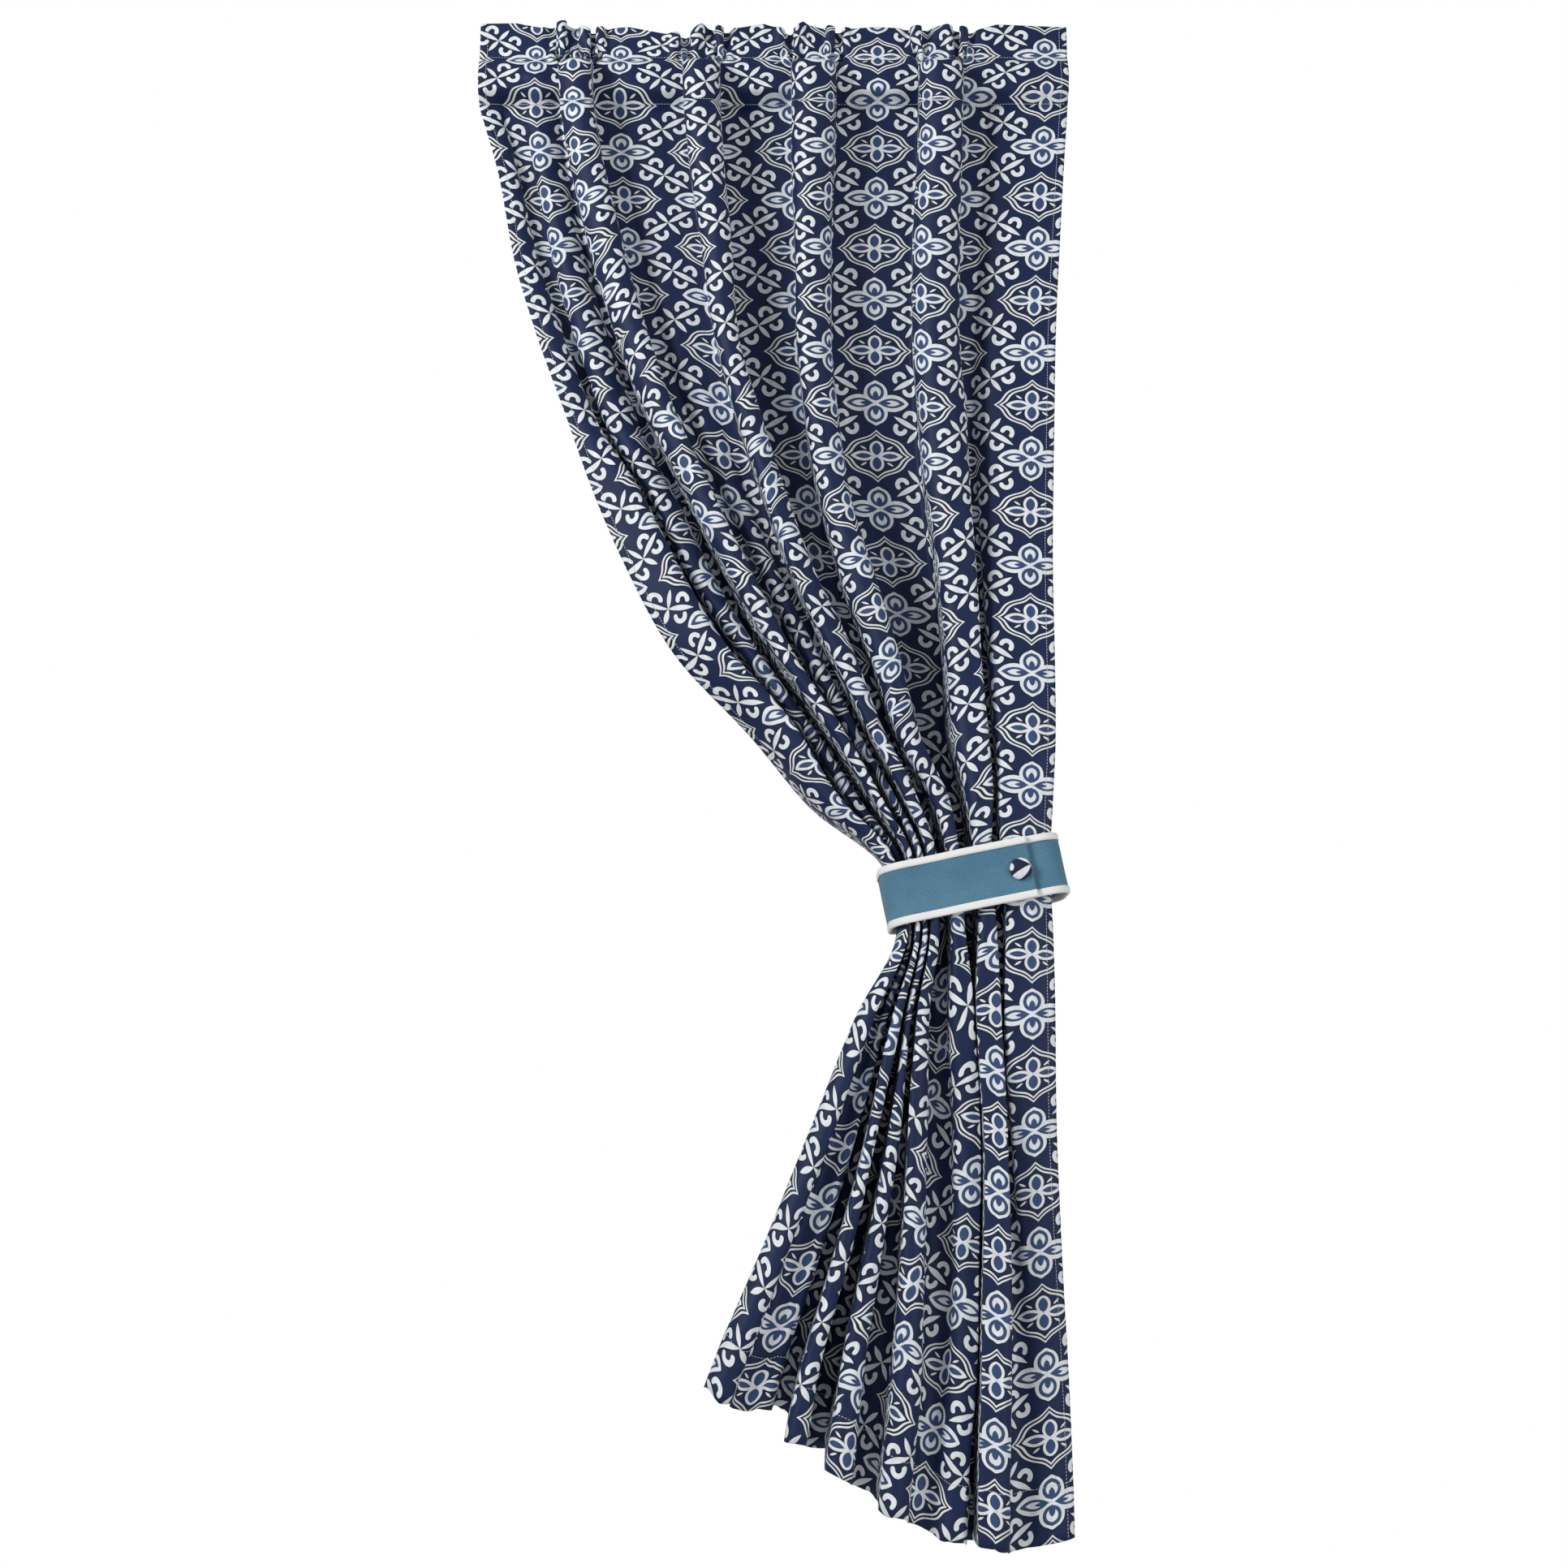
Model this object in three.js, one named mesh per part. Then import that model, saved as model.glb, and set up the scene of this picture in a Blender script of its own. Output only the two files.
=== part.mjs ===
// A tied-back curtain panel of printed cotton: gathered on a rod pocket, drawn to the right
// and held by a bound cloth band with a covered button.
// Millimetres. X is to the viewer's right, Y is away from the viewer, Z is up.
// The origin is the middle of the rod pocket's centre line.
import * as THREE from "three";

// Flat sizes of the cloth
const FLAT_WIDTH = 1321;
const FINISHED_LENGTH = 2134;
const COLUMN = 120;
const EDGE_TO_COLUMN = 0.27;
const CLOTH = 2;
const SEAM_GAP = 0.3;

// Heading
const HEADER_HEIGHT = 53;
const POCKET_HEIGHT = 73;
const POCKET_TOP = 36;
const POCKET_BOTTOM = POCKET_TOP - POCKET_HEIGHT;
const LENGTH_AT_POCKET = HEADER_HEIGHT + POCKET_HEIGHT;
const POCKET_SAG = 0.42;
const ROD_ROOM = 17;
const ROD_FLAT = 17;
const GATHER_REACH = 62;
const GATHER_PITCH = 56;
const GATHER_DEPTH = 13;

// Tie band
const BAND_HEIGHT = 84;
const BAND_THICK = 3;
const BAND_TILT = (11.4 * Math.PI) / 180;
const BAND_CENTRE = [272.8, 2.9, -1190];
const BAND_HALF_LENGTH = 122.3;
const BAND_HALF_DEPTH = 55.4;
const BAND_CORNER = 31;
const BAND_LAP = 46;
const BAND_LIFT = 6.8;
const LIFT_RUN = 95;
const LAP_CLEAR = 33;
const FREE_END = 76.2;
const BINDING_HEIGHT = 10;
const BINDING_CLOTH = 0.9;
const BUTTON_DIAMETER = 30;
const BUTTON_DOME = 8;

// Where each fold line lies, one row for each level: height, left outline, the fold lines
// f a g b c d, right edge
const LEVELS = [
  [-37, -432, -349, -283, -201, -108, 57, 247, 432],
  [-147, -400, -330, -265, -184, -98, 54, 242, 423],
  [-273, -376, -299, -235, -159, -80, 50, 233, 414],
  [-396, -339, -263, -198, -134, -67, 50, 231, 406],
  [-518, -295, -221, -153, -98, -38, 63, 234, 401],
  [-639, -252, -158, -99, -51, -3, 85, 240, 396],
  [-756, -201, -101, -43, 2, 34, 120, 251, 392],
  [-872, -136, -25, 15, 55, 91, 156, 258, 390],
  [-987, -26, 55, 91, 115, 141, 181, 268, 388],
  [-1076, 50, 112, 142, 164, 185, 226, 279, 382],
  [-1166, 149, 173, 187, 201, 215, 243, 282, 376],
  [-1254, 168, 186, 195, 205, 216, 247, 289, 377],
  [-1373, 112, 150, 167, 182, 196, 250, 291, 377],
  [-1533, 47, 105, 130, 161, 186, 260, 295, 378],
  [-1689, -19, 53, 90, 129, 180, 258, 291, 383],
  [-1841, -82, 0, 45, 100, 174, 251, 286, 389],
  [-1941, -120, -30, 25, 86, 162, 240, 282, 391],
  [-2132, -191, -85, -10, 62, 141, 225, 279, 388],
];

// Which column of the print lies on each fold line, counted from the right edge: height,
// then the lines z f a g b c d p
const PRINT_COLUMNS = [
  [-37, 10.66, 10.0, 8.95, 7.8, 6.58, 4.25, 1.77, 0.35],
  [-396, 10.6, 9.75, 8.5, 7.45, 6.5, 4.3, 1.8, 0.35],
  [-518, 10.57, 9.53, 8.17, 7.2, 6.31, 4.24, 1.76, 0.33],
  [-639, 10.3, 9.3, 7.85, 6.9, 6.0, 4.15, 1.7, 0.3],
  [-872, 10.2, 9.05, 7.55, 6.4, 5.4, 4.05, 1.6, 0.25],
  [-1076, 10.05, 8.75, 7.35, 6.0, 4.75, 3.4, 1.35, 0.2],
  [-1197, 10.05, 8.9, 7.5, 5.95, 4.5, 2.95, 1.2, 0.2],
  [-1250, 10.0, 8.92, 7.52, 5.97, 4.52, 3.0, 1.15, 0.2],
  [-1312, 9.7, 9.0, 7.85, 5.95, 4.67, 3.45, 1.08, 0.2],
  [-1373, 9.55, 9.05, 7.95, 5.9, 4.7, 3.6, 1.05, 0.2],
  [-1533, 9.5, 9.0, 7.75, 5.75, 4.45, 3.15, 1.02, 0.15],
  [-1689, 9.5, 8.95, 7.55, 5.45, 4.1, 2.9, 1.02, 0.08],
  [-1841, 9.5, 8.87, 7.45, 5.2, 3.8, 2.7, 1.02, 0.03],
  [-2060, 9.5, 8.75, 7.35, 4.95, 3.4, 2.45, 1.02, 0.0],
];

// How far forward each fold line lies, as its Y: height, then the lines z f a g b c d p
const DEPTHS = [
  [-37, 2, 2, -62, 2, -62, -62, -62, 2],
  [-396, -5, 2, -54, 2, -54, -54, -54, 2],
  [-639, -25, 0, -48, 0, -48, -48, -46, -5],
  [-872, -40, -5, -46, -10, -46, -46, -46, -25],
  [-1076, -42, -12, -47, -25, -47, -47, -47, -38],
  [-1197, -38, -25, -46, -44, -48, -48, -48, -46],
  [-1373, -42, -18, -48, -42, -49, -42, -49, -43],
  [-1533, -45, -18, -50, -43, -50, -28, -50, -26],
  [-1689, -48, -18, -52, -45, -52, -24, -52, -8],
  [-1841, -50, -18, -53, -50, -53, -26, -53, -3],
  [-2060, -52, -18, -55, -55, -55, -34, -55, -7],
];

// The flat share of a fold's side, minus by the valley and plus by the crest: height, then
// the sides z-f f-a a-g g-b b-c c-d d-p
const FLATS = [
  [-37, -0.3, 0, -0.2, -0.2, -0.35, -0.38, -0.2],
  [-396, -0.1, 0, -0.15, -0.15, -0.3, -0.36, -0.1],
  [-639, 0, 0, -0.1, -0.1, -0.15, -0.32, 0.12],
  [-872, 0, 0, 0, 0, 0, -0.15, 0.22],
  [-1076, 0, 0, 0, 0, 0, 0, 0.22],
  [-1197, 0, 0, 0, 0, 0, 0, 0.05],
  [-1373, 0, 0, 0, 0, 0, 0.12, 0.2],
  [-1689, 0, 0, 0, 0, 0, 0.12, 0.16],
  [-2060, 0, 0, 0, 0, 0, 0.12, 0.05],
];

// Roundness of the folds and the cloth's two side edges: height, roundness, crest bias, left
// turn in degrees, left radius, right turn in degrees
const EDGES = [
  [-37, 0.98, 0.8, 10, 60, 0],
  [-396, 1.1, 0.7, 22, 60, 0],
  [-639, 1.05, 0.5, 10, 80, 4],
  [-872, 0.98, 0.3, 24, 60, 8],
  [-1076, 0.95, 0.1, 88, 32, 18],
  [-1197, 0.94, 0, 98, 12, 42],
  [-1373, 0.94, 0, 98, 20, 20],
  [-1689, 0.96, 0, 125, 25, 36],
  [-2060, 0.96, 0, 130, 26, 48],
];

// Length of cloth drawn up through the tie band, so that the hem is higher by that much:
// column of the print, length
const DRAWN_UP = [
  [-0.27, -4], [0.05, -11], [0.35, -20], [0.95, -19], [1.3, 6], [1.7, 17], [1.95, 8], [2.15, -11],
  [2.3, -42], [2.6, -62], [3.2, -60], [3.55, -64], [3.75, -50], [3.95, -4], [4.2, 24], [4.7, 19],
  [5.0, 0], [5.6, -10], [6.1, 28], [6.5, 40], [6.8, 37], [7.25, 4], [7.55, -6], [8.3, -4], [8.6, 20],
  [8.9, 24], [9.2, 3], [9.5, -17], [9.8, -22], [10.74, -22],
];
const DRAWN_FROM = -1250;
const DRAWN_TO = -1480;

// Top edge of the header: distance along X, height
const TOP_EDGE = [
  [-440, 90], [-380, 91], [-345, 84], [-305, 91], [-272, 79], [-215, 85], [-160, 74],
  [-128, 72], [-105, 88], [-70, 80], [-15, 90], [25, 77], [45, 90], [95, 80], [150, 85],
  [205, 82], [255, 87], [292, 78], [330, 89], [440, 84],
];

// Value of a table's column at a height, on a smooth curve that does not overshoot
function at(table, column, height) {
  const count = table.length;
  const key = (i) => -table[i][0];
  const value = (i) => table[i][column];
  const rise = (i) => (value(i + 1) - value(i)) / (key(i + 1) - key(i));
  const span = (i) => key(i + 1) - key(i);
  const slope = (i) => {
    if (i === 0) return rise(0);
    if (i === count - 1) return rise(count - 2);
    const before = rise(i - 1);
    const after = rise(i);
    if (before * after <= 0) return 0;
    const a = 2 * span(i) + span(i - 1);
    const b = span(i) + 2 * span(i - 1);
    return (a + b) / (a / before + b / after);
  };
  const k = Math.min(Math.max(-height, key(0)), key(count - 1));
  let i = 0;
  while (i < count - 2 && k > key(i + 1)) i++;
  const h = span(i);
  const u = (k - key(i)) / h;
  const v = 1 - u;
  const ends = (1 + 2 * u) * v * v * value(i) + u * u * (3 - 2 * u) * value(i + 1);
  return ends + u * v * h * (v * slope(i) - u * slope(i + 1));
}

// Straight interpolation in a list of pairs
function between(pairs, x) {
  let i = 0;
  while (i < pairs.length - 2 && x > pairs[i + 1][0]) i++;
  const [x0, y0] = pairs[i];
  const [x1, y1] = pairs[i + 1];
  const u = x1 === x0 ? 0 : Math.min(Math.max((x - x0) / (x1 - x0), 0), 1);
  return y0 + (y1 - y0) * u;
}

// Side of a fold with a given chord for its length: its steepest angle and the arcs' share
function foldSide(ratio, flat, roundness) {
  const still = Math.abs(flat);
  const r = Math.min(Math.max((ratio - still) / (1 - still), 0.03), 0.9999);
  const share = Math.min(Math.max(roundness * 0.785 * r, 0.02), 0.5);
  let low = 1e-4;
  let high = 2.4;
  for (let i = 0; i < 40; i++) {
    const m = (low + high) / 2;
    const chord = (2 * share * Math.sin(m)) / m + (1 - 2 * share) * Math.cos(m);
    if (chord > r) low = m;
    else high = m;
  }
  return { angle: (low + high) / 2, share, flat };
}

// Point on a fold's side, from its crest at 0 to its valley at 1, for a length of 1: an arc,
// a straight part and an arc back, with a flat part before or after
function alongSide(t, side, bias) {
  const { angle, share, flat } = side;
  const still = Math.abs(flat);
  const lead = Math.max(flat, 0);
  const u = Math.min(Math.max((t - lead) / (1 - still), 0), 1);
  const level = Math.min(t, lead) + Math.max(t - (1 - still + lead), 0);
  const first = share * (1 + bias);
  const last = share * (1 - bias);
  const k1 = first / angle;
  const k2 = last / angle;
  const sin = Math.sin(angle);
  const cos = Math.cos(angle);
  const straight = Math.min(Math.max(u - first, 0), 1 - first - last);
  const turn1 = Math.min(u, first) / k1;
  const turn2 = Math.min(1 - u, last) / k2;
  const x = k1 * Math.sin(turn1) + straight * cos + k2 * (sin - Math.sin(turn2));
  const y = k1 * (1 - Math.cos(turn1)) + straight * sin + k2 * (Math.cos(turn2) - cos);
  return [level + (1 - still) * x, (1 - still) * y];
}

function dropOf(length, chord, flat, roundness) {
  const side = foldSide(chord / length, flat, roundness);
  return length * alongSide(1, side, 0)[1];
}

// Shares of a fold's side where the part has its columns: round the crest, the side's two
// ends and the valley's corner
function sideShares(side, bias, fine) {
  if (fine) return Array.from({ length: 24 }, (_, i) => i / 24);
  const still = Math.abs(side.flat);
  const lead = Math.max(side.flat, 0);
  const first = side.share * (1 + bias);
  const last = side.share * (1 - bias);
  const corner = Math.min(lead + 1 - still, 0.96);
  const foot = Math.min(lead + (1 - still) * (1 - last), corner - 0.03);
  const top = lead + (1 - still) * first;
  return [0, lead + (1 - still) * first * 0.5, Math.min(top, foot - 0.03), foot, corner];
}

// The cloth's section at one height: a list of points with the place on the flat cloth,
// counted from the left edge, then X and Y
function section(height, fine) {
  const lines = ["f", "a", "g", "b", "c", "d"];
  const all = ["z", ...lines, "p"];
  const x = {};
  lines.forEach((n, i) => (x[n] = at(LEVELS, i + 2, height)));
  const left = at(LEVELS, 1, height);
  const right = at(LEVELS, 8, height);
  const slope = (c) => (at(LEVELS, c, height + 40) - at(LEVELS, c, height - 40)) / 80;
  const openness = Math.min((1.6 * (right - left)) / FLAT_WIDTH, 1);
  const leftSlope = slope(1) * openness;
  const rightSlope = slope(8) * openness;
  const run = [[0, 0]];
  const steps = 80;
  for (let i = 1; i <= steps; i++) {
    const s = leftSlope + ((rightSlope - leftSlope) * (i - 0.5)) / steps;
    const before = run[i - 1];
    run.push([(FLAT_WIDTH * i) / steps, before[1] + (FLAT_WIDTH / steps) * Math.hypot(1, s)]);
  }
  const back = run.map(([q, l]) => [l, q]);
  const l = {};
  const y = {};
  all.forEach((n, i) => {
    const place = FLAT_WIDTH - COLUMN * (EDGE_TO_COLUMN + at(PRINT_COLUMNS, i + 1, height));
    l[n] = between(run, place);
    y[n] = at(DEPTHS, i + 1, height);
  });
  const [roundness, bias, leftTurn, leftRadius, rightTurn] = [1, 2, 3, 4, 5].map((c) =>
    at(EDGES, c, height),
  );
  const turn = (leftTurn * Math.PI) / 180;
  const tail = (s) => {
    const a = Math.min(s / leftRadius, turn);
    const rest = Math.max(s - leftRadius * turn, 0);
    const tx = leftRadius * Math.sin(a) + rest * Math.cos(turn);
    return [tx, leftRadius * (1 - Math.cos(a)) + rest * Math.sin(turn)];
  };
  let reach = 0;
  for (let i = 1; i <= 60; i++) reach = Math.max(reach, tail((l.z * i) / 60)[0]);
  x.z = left + reach;
  const width = run[steps][1] - l.p;
  const bow = (rightTurn * Math.PI) / 180;
  const edge = (t) => {
    const a = bow * t;
    if (a < 1e-6) return [width * t, 0];
    return [(width * Math.sin(a)) / bow, (width * (1 - Math.cos(a))) / bow];
  };
  x.p = right - edge(1)[0];

  const points = [];
  const arc = Math.min((leftRadius * turn) / l.z, 0.9);
  const tailShares = fine
    ? Array.from({ length: 24 }, (_, i) => 1 - i / 24)
    : [1, (1 + arc) / 2, arc, arc * 0.67, arc * 0.33];
  for (const t of tailShares) {
    const [tx, ty] = tail(t * l.z);
    points.push([l.z - t * l.z, x.z - tx, y.z + ty]);
  }
  for (let i = 0; i < all.length - 1; i++) {
    const a = all[i];
    const b = all[i + 1];
    const flat = at(FLATS, i + 1, height);
    const half = (x[b] - x[a]) / 2;
    let low = l[a] + half;
    let high = l[b] - half;
    for (let n = 0; n < 40; n++) {
      const m = (low + high) / 2;
      const one = dropOf(m - l[a], half, flat, roundness);
      const two = dropOf(l[b] - m, half, flat, roundness);
      if (one - two < y[b] - y[a]) low = m;
      else high = m;
    }
    const valley = (low + high) / 2;
    const place = (from, sign, length, side, t) => {
      const [sx, sy] = alongSide(t, side, bias);
      const fit = half / (alongSide(1, side, bias)[0] * length);
      return [l[from] + sign * t * length, x[from] + sign * sx * length * fit, y[from] + sy * length];
    };
    const down = valley - l[a];
    const up = l[b] - valley;
    const sideA = foldSide(half / down, flat, roundness);
    const sideB = foldSide(half / up, flat, roundness);
    for (const t of sideShares(sideA, bias, fine)) points.push(place(a, 1, down, sideA, t));
    points.push(place(a, 1, down, sideA, 1));
    const rising = sideShares(sideB, bias, fine).slice(1).reverse();
    for (const t of rising) points.push(place(b, -1, up, sideB, t));
  }
  const edgeShares = fine ? Array.from({ length: 13 }, (_, i) => i / 12) : [0, 0.35, 0.7, 1];
  for (const t of edgeShares) {
    const [ex, ey] = edge(t);
    points.push([l.p + t * width, x.p + ex, y.p + ey]);
  }
  return points.map(([run1, px, py]) => [between(back, run1), px, py]);
}

// The section at one height, read at a place on the flat cloth
function readSection(points, place) {
  let i = 0;
  let j = points.length - 1;
  while (j - i > 1) {
    const m = (i + j) >> 1;
    if (points[m][0] <= place) i = m;
    else j = m;
  }
  const [q0, x0, y0] = points[i];
  const [q1, x1, y1] = points[j];
  const u = q1 > q0 ? Math.min(Math.max((place - q0) / (q1 - q0), 0), 1) : 0;
  return [x0 + (x1 - x0) * u, y0 + (y1 - y0) * u];
}

// Height between the sections that the threads' lengths are added up from
const LEVEL_STEP = 13.05;

// Grid of the panel below the pocket. Every thread keeps its length, so a thread that is
// drawn sideways or forward ends higher at the hem.
function panelGrid(stations) {
  const heights = Array.from({ length: 161 }, (_, i) => POCKET_BOTTOM - i * LEVEL_STEP);
  const threads = 240;
  const drawnUp = Array.from({ length: threads + 1 }, (_, i) => {
    const column = (FLAT_WIDTH * (1 - i / threads)) / COLUMN - EDGE_TO_COLUMN;
    return between(DRAWN_UP, column);
  });
  const drawnShare = (h) => smooth((h - DRAWN_FROM) / (DRAWN_TO - DRAWN_FROM));
  const lengths = [];
  let before = null;
  let first = null;
  for (const h of heights) {
    const points = section(h, true);
    const now = Array.from({ length: threads + 1 }, (_, i) =>
      readSection(points, (FLAT_WIDTH * i) / threads),
    );
    if (!before) {
      first = now;
      lengths.push(now.map(([, y]) => LENGTH_AT_POCKET + POCKET_SAG * y));
    } else {
      const last = lengths[lengths.length - 1];
      const drawn = drawnShare(h) - drawnShare(h + LEVEL_STEP);
      lengths.push(
        now.map(([x, y], i) => {
          const step = Math.hypot(x - before[i][0], y - before[i][1], LEVEL_STEP);
          return last[i] + step + drawn * drawnUp[i];
        }),
      );
    }
    before = now;
  }
  const features = heights.map((h) => section(h, false));
  const columns = features[0].length;
  const grid = stations.map(() => []);
  for (let c = 0; c < columns; c++) {
    const track = features.map((points, k) => {
      const [q, x, y] = points[c];
      const t = Math.min((q / FLAT_WIDTH) * threads, threads - 1e-6);
      const i = Math.floor(t);
      const length = lengths[k][i] + (lengths[k][i + 1] - lengths[k][i]) * (t - i);
      return [length, x, y, heights[k]];
    });
    let k = 0;
    stations.forEach((want, r) => {
      while (k < track.length - 2 && track[k + 1][0] < want) k++;
      const u = Math.max((want - track[k][0]) / (track[k + 1][0] - track[k][0]), 0);
      grid[r].push([1, 2, 3].map((n) => track[k][n] + (track[k + 1][n] - track[k][n]) * u));
    });
  }
  return { grid, top: first, threads };
}

// A closed sheet with a thickness, from a grid of its middle points
function sheetGeometry(grid, thickness, settle) {
  const rows = grid.length;
  const columns = grid[0].length;
  const middle = grid.map((row) => row.map((p) => new THREE.Vector3(...p)));
  const positions = [];
  const index = [];
  const normal = new THREE.Vector3();
  const du = new THREE.Vector3();
  const dv = new THREE.Vector3();
  for (const face of [-1, 1]) {
    for (let r = 0; r < rows; r++) {
      for (let c = 0; c < columns; c++) {
        const west = middle[r][Math.max(c - 1, 0)];
        const east = middle[r][Math.min(c + 1, columns - 1)];
        const here = middle[r][c];
        du.subVectors(east, here).normalize();
        const other = new THREE.Vector3().subVectors(here, west).normalize();
        du.add(other).normalize();
        dv.subVectors(middle[Math.min(r + 1, rows - 1)][c], middle[Math.max(r - 1, 0)][c]);
        normal.crossVectors(du, dv).normalize();
        const p = here.clone().addScaledVector(normal, (face * thickness) / 2);
        settle(p, r);
        positions.push(p.x, p.y, p.z);
      }
    }
  }
  const id = (face, r, c) => face * rows * columns + r * columns + c;
  const quad = (a, b, c, d) => index.push(a, b, c, a, c, d);
  for (let r = 0; r < rows - 1; r++) {
    for (let c = 0; c < columns - 1; c++) {
      quad(id(0, r, c), id(0, r + 1, c), id(0, r + 1, c + 1), id(0, r, c + 1));
      quad(id(1, r, c), id(1, r, c + 1), id(1, r + 1, c + 1), id(1, r + 1, c));
    }
  }
  for (let r = 0; r < rows - 1; r++) {
    quad(id(0, r, 0), id(1, r, 0), id(1, r + 1, 0), id(0, r + 1, 0));
    const e = columns - 1;
    quad(id(0, r, e), id(0, r + 1, e), id(1, r + 1, e), id(1, r, e));
  }
  for (let c = 0; c < columns - 1; c++) {
    quad(id(0, 0, c), id(0, 0, c + 1), id(1, 0, c + 1), id(1, 0, c));
    const e = rows - 1;
    quad(id(0, e, c), id(1, e, c), id(1, e, c + 1), id(0, e, c + 1));
  }
  const geometry = new THREE.BufferGeometry();
  geometry.setAttribute("position", new THREE.Float32BufferAttribute(positions, 3));
  geometry.setIndex(index);
  geometry.computeVertexNormals();
  return geometry;
}

// A body swept through rings of points that all have the same count, closed at both ends;
// with two rings at a station the second one is a hole that runs right through
function sweptGeometry(stations, endCaps) {
  const positions = [];
  const index = [];
  const rings = stations[0].length;
  const counts = stations[0].map((ring) => ring.length);
  const perStation = counts.reduce((a, b) => a + b, 0);
  stations.forEach((station) => station.forEach((ring) => ring.forEach((p) => positions.push(...p))));
  for (let s = 0; s < stations.length - 1; s++) {
    let start = 0;
    for (let k = 0; k < rings; k++) {
      const n = counts[k];
      for (let i = 0; i < n; i++) {
        const a = s * perStation + start + i;
        const b = s * perStation + start + ((i + 1) % n);
        const c = a + perStation;
        const d = b + perStation;
        if (k === 0) index.push(a, c, b, b, c, d);
        else index.push(a, b, c, b, d, c);
      }
      start += n;
    }
  }
  const last = (stations.length - 1) * perStation;
  for (const [a, b, c] of endCaps) {
    index.push(a, b, c);
    index.push(last + a, last + c, last + b);
  }
  const geometry = new THREE.BufferGeometry();
  geometry.setAttribute("position", new THREE.Float32BufferAttribute(positions, 3));
  geometry.setIndex(index);
  geometry.computeVertexNormals();
  return geometry;
}

// Turns a body's faces round if they point inwards
function facingOut(geometry) {
  const p = geometry.getAttribute("position");
  const index = geometry.getIndex();
  const corner = (i) => new THREE.Vector3().fromBufferAttribute(p, index.getX(i));
  let volume = 0;
  for (let i = 0; i < index.count; i += 3) {
    volume += corner(i).dot(corner(i + 1).cross(corner(i + 2)));
  }
  if (volume < 0) {
    for (let i = 0; i < index.count; i += 3) {
      const keep = index.getX(i + 1);
      index.setX(i + 1, index.getX(i + 2));
      index.setX(i + 2, keep);
    }
    geometry.computeVertexNormals();
  }
  return geometry;
}

// Triangles that close an end of a swept body, all facing the same way
function capOf(outline, hole) {
  const flat = (ring) => ring.map(([a, b]) => new THREE.Vector2(a, b));
  const contour = flat(outline);
  const holes = hole ? [flat(hole)] : [];
  const points = hole ? [...outline, ...hole] : outline;
  const sense = THREE.ShapeUtils.area(contour);
  return THREE.ShapeUtils.triangulateShape(contour, holes).map(([a, b, c]) => {
    const [ax, ay] = points[a];
    const [bx, by] = points[b];
    const [cx, cy] = points[c];
    const area = (bx - ax) * (cy - ay) - (by - ay) * (cx - ax);
    return area * sense > 0 ? [a, b, c] : [a, c, b];
  });
}

const smooth = (u) => {
  const t = Math.min(Math.max(u, 0), 1);
  return t * t * (3 - 2 * t);
};
const mix = (a, b, u) => a + (b - a) * u;

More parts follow.
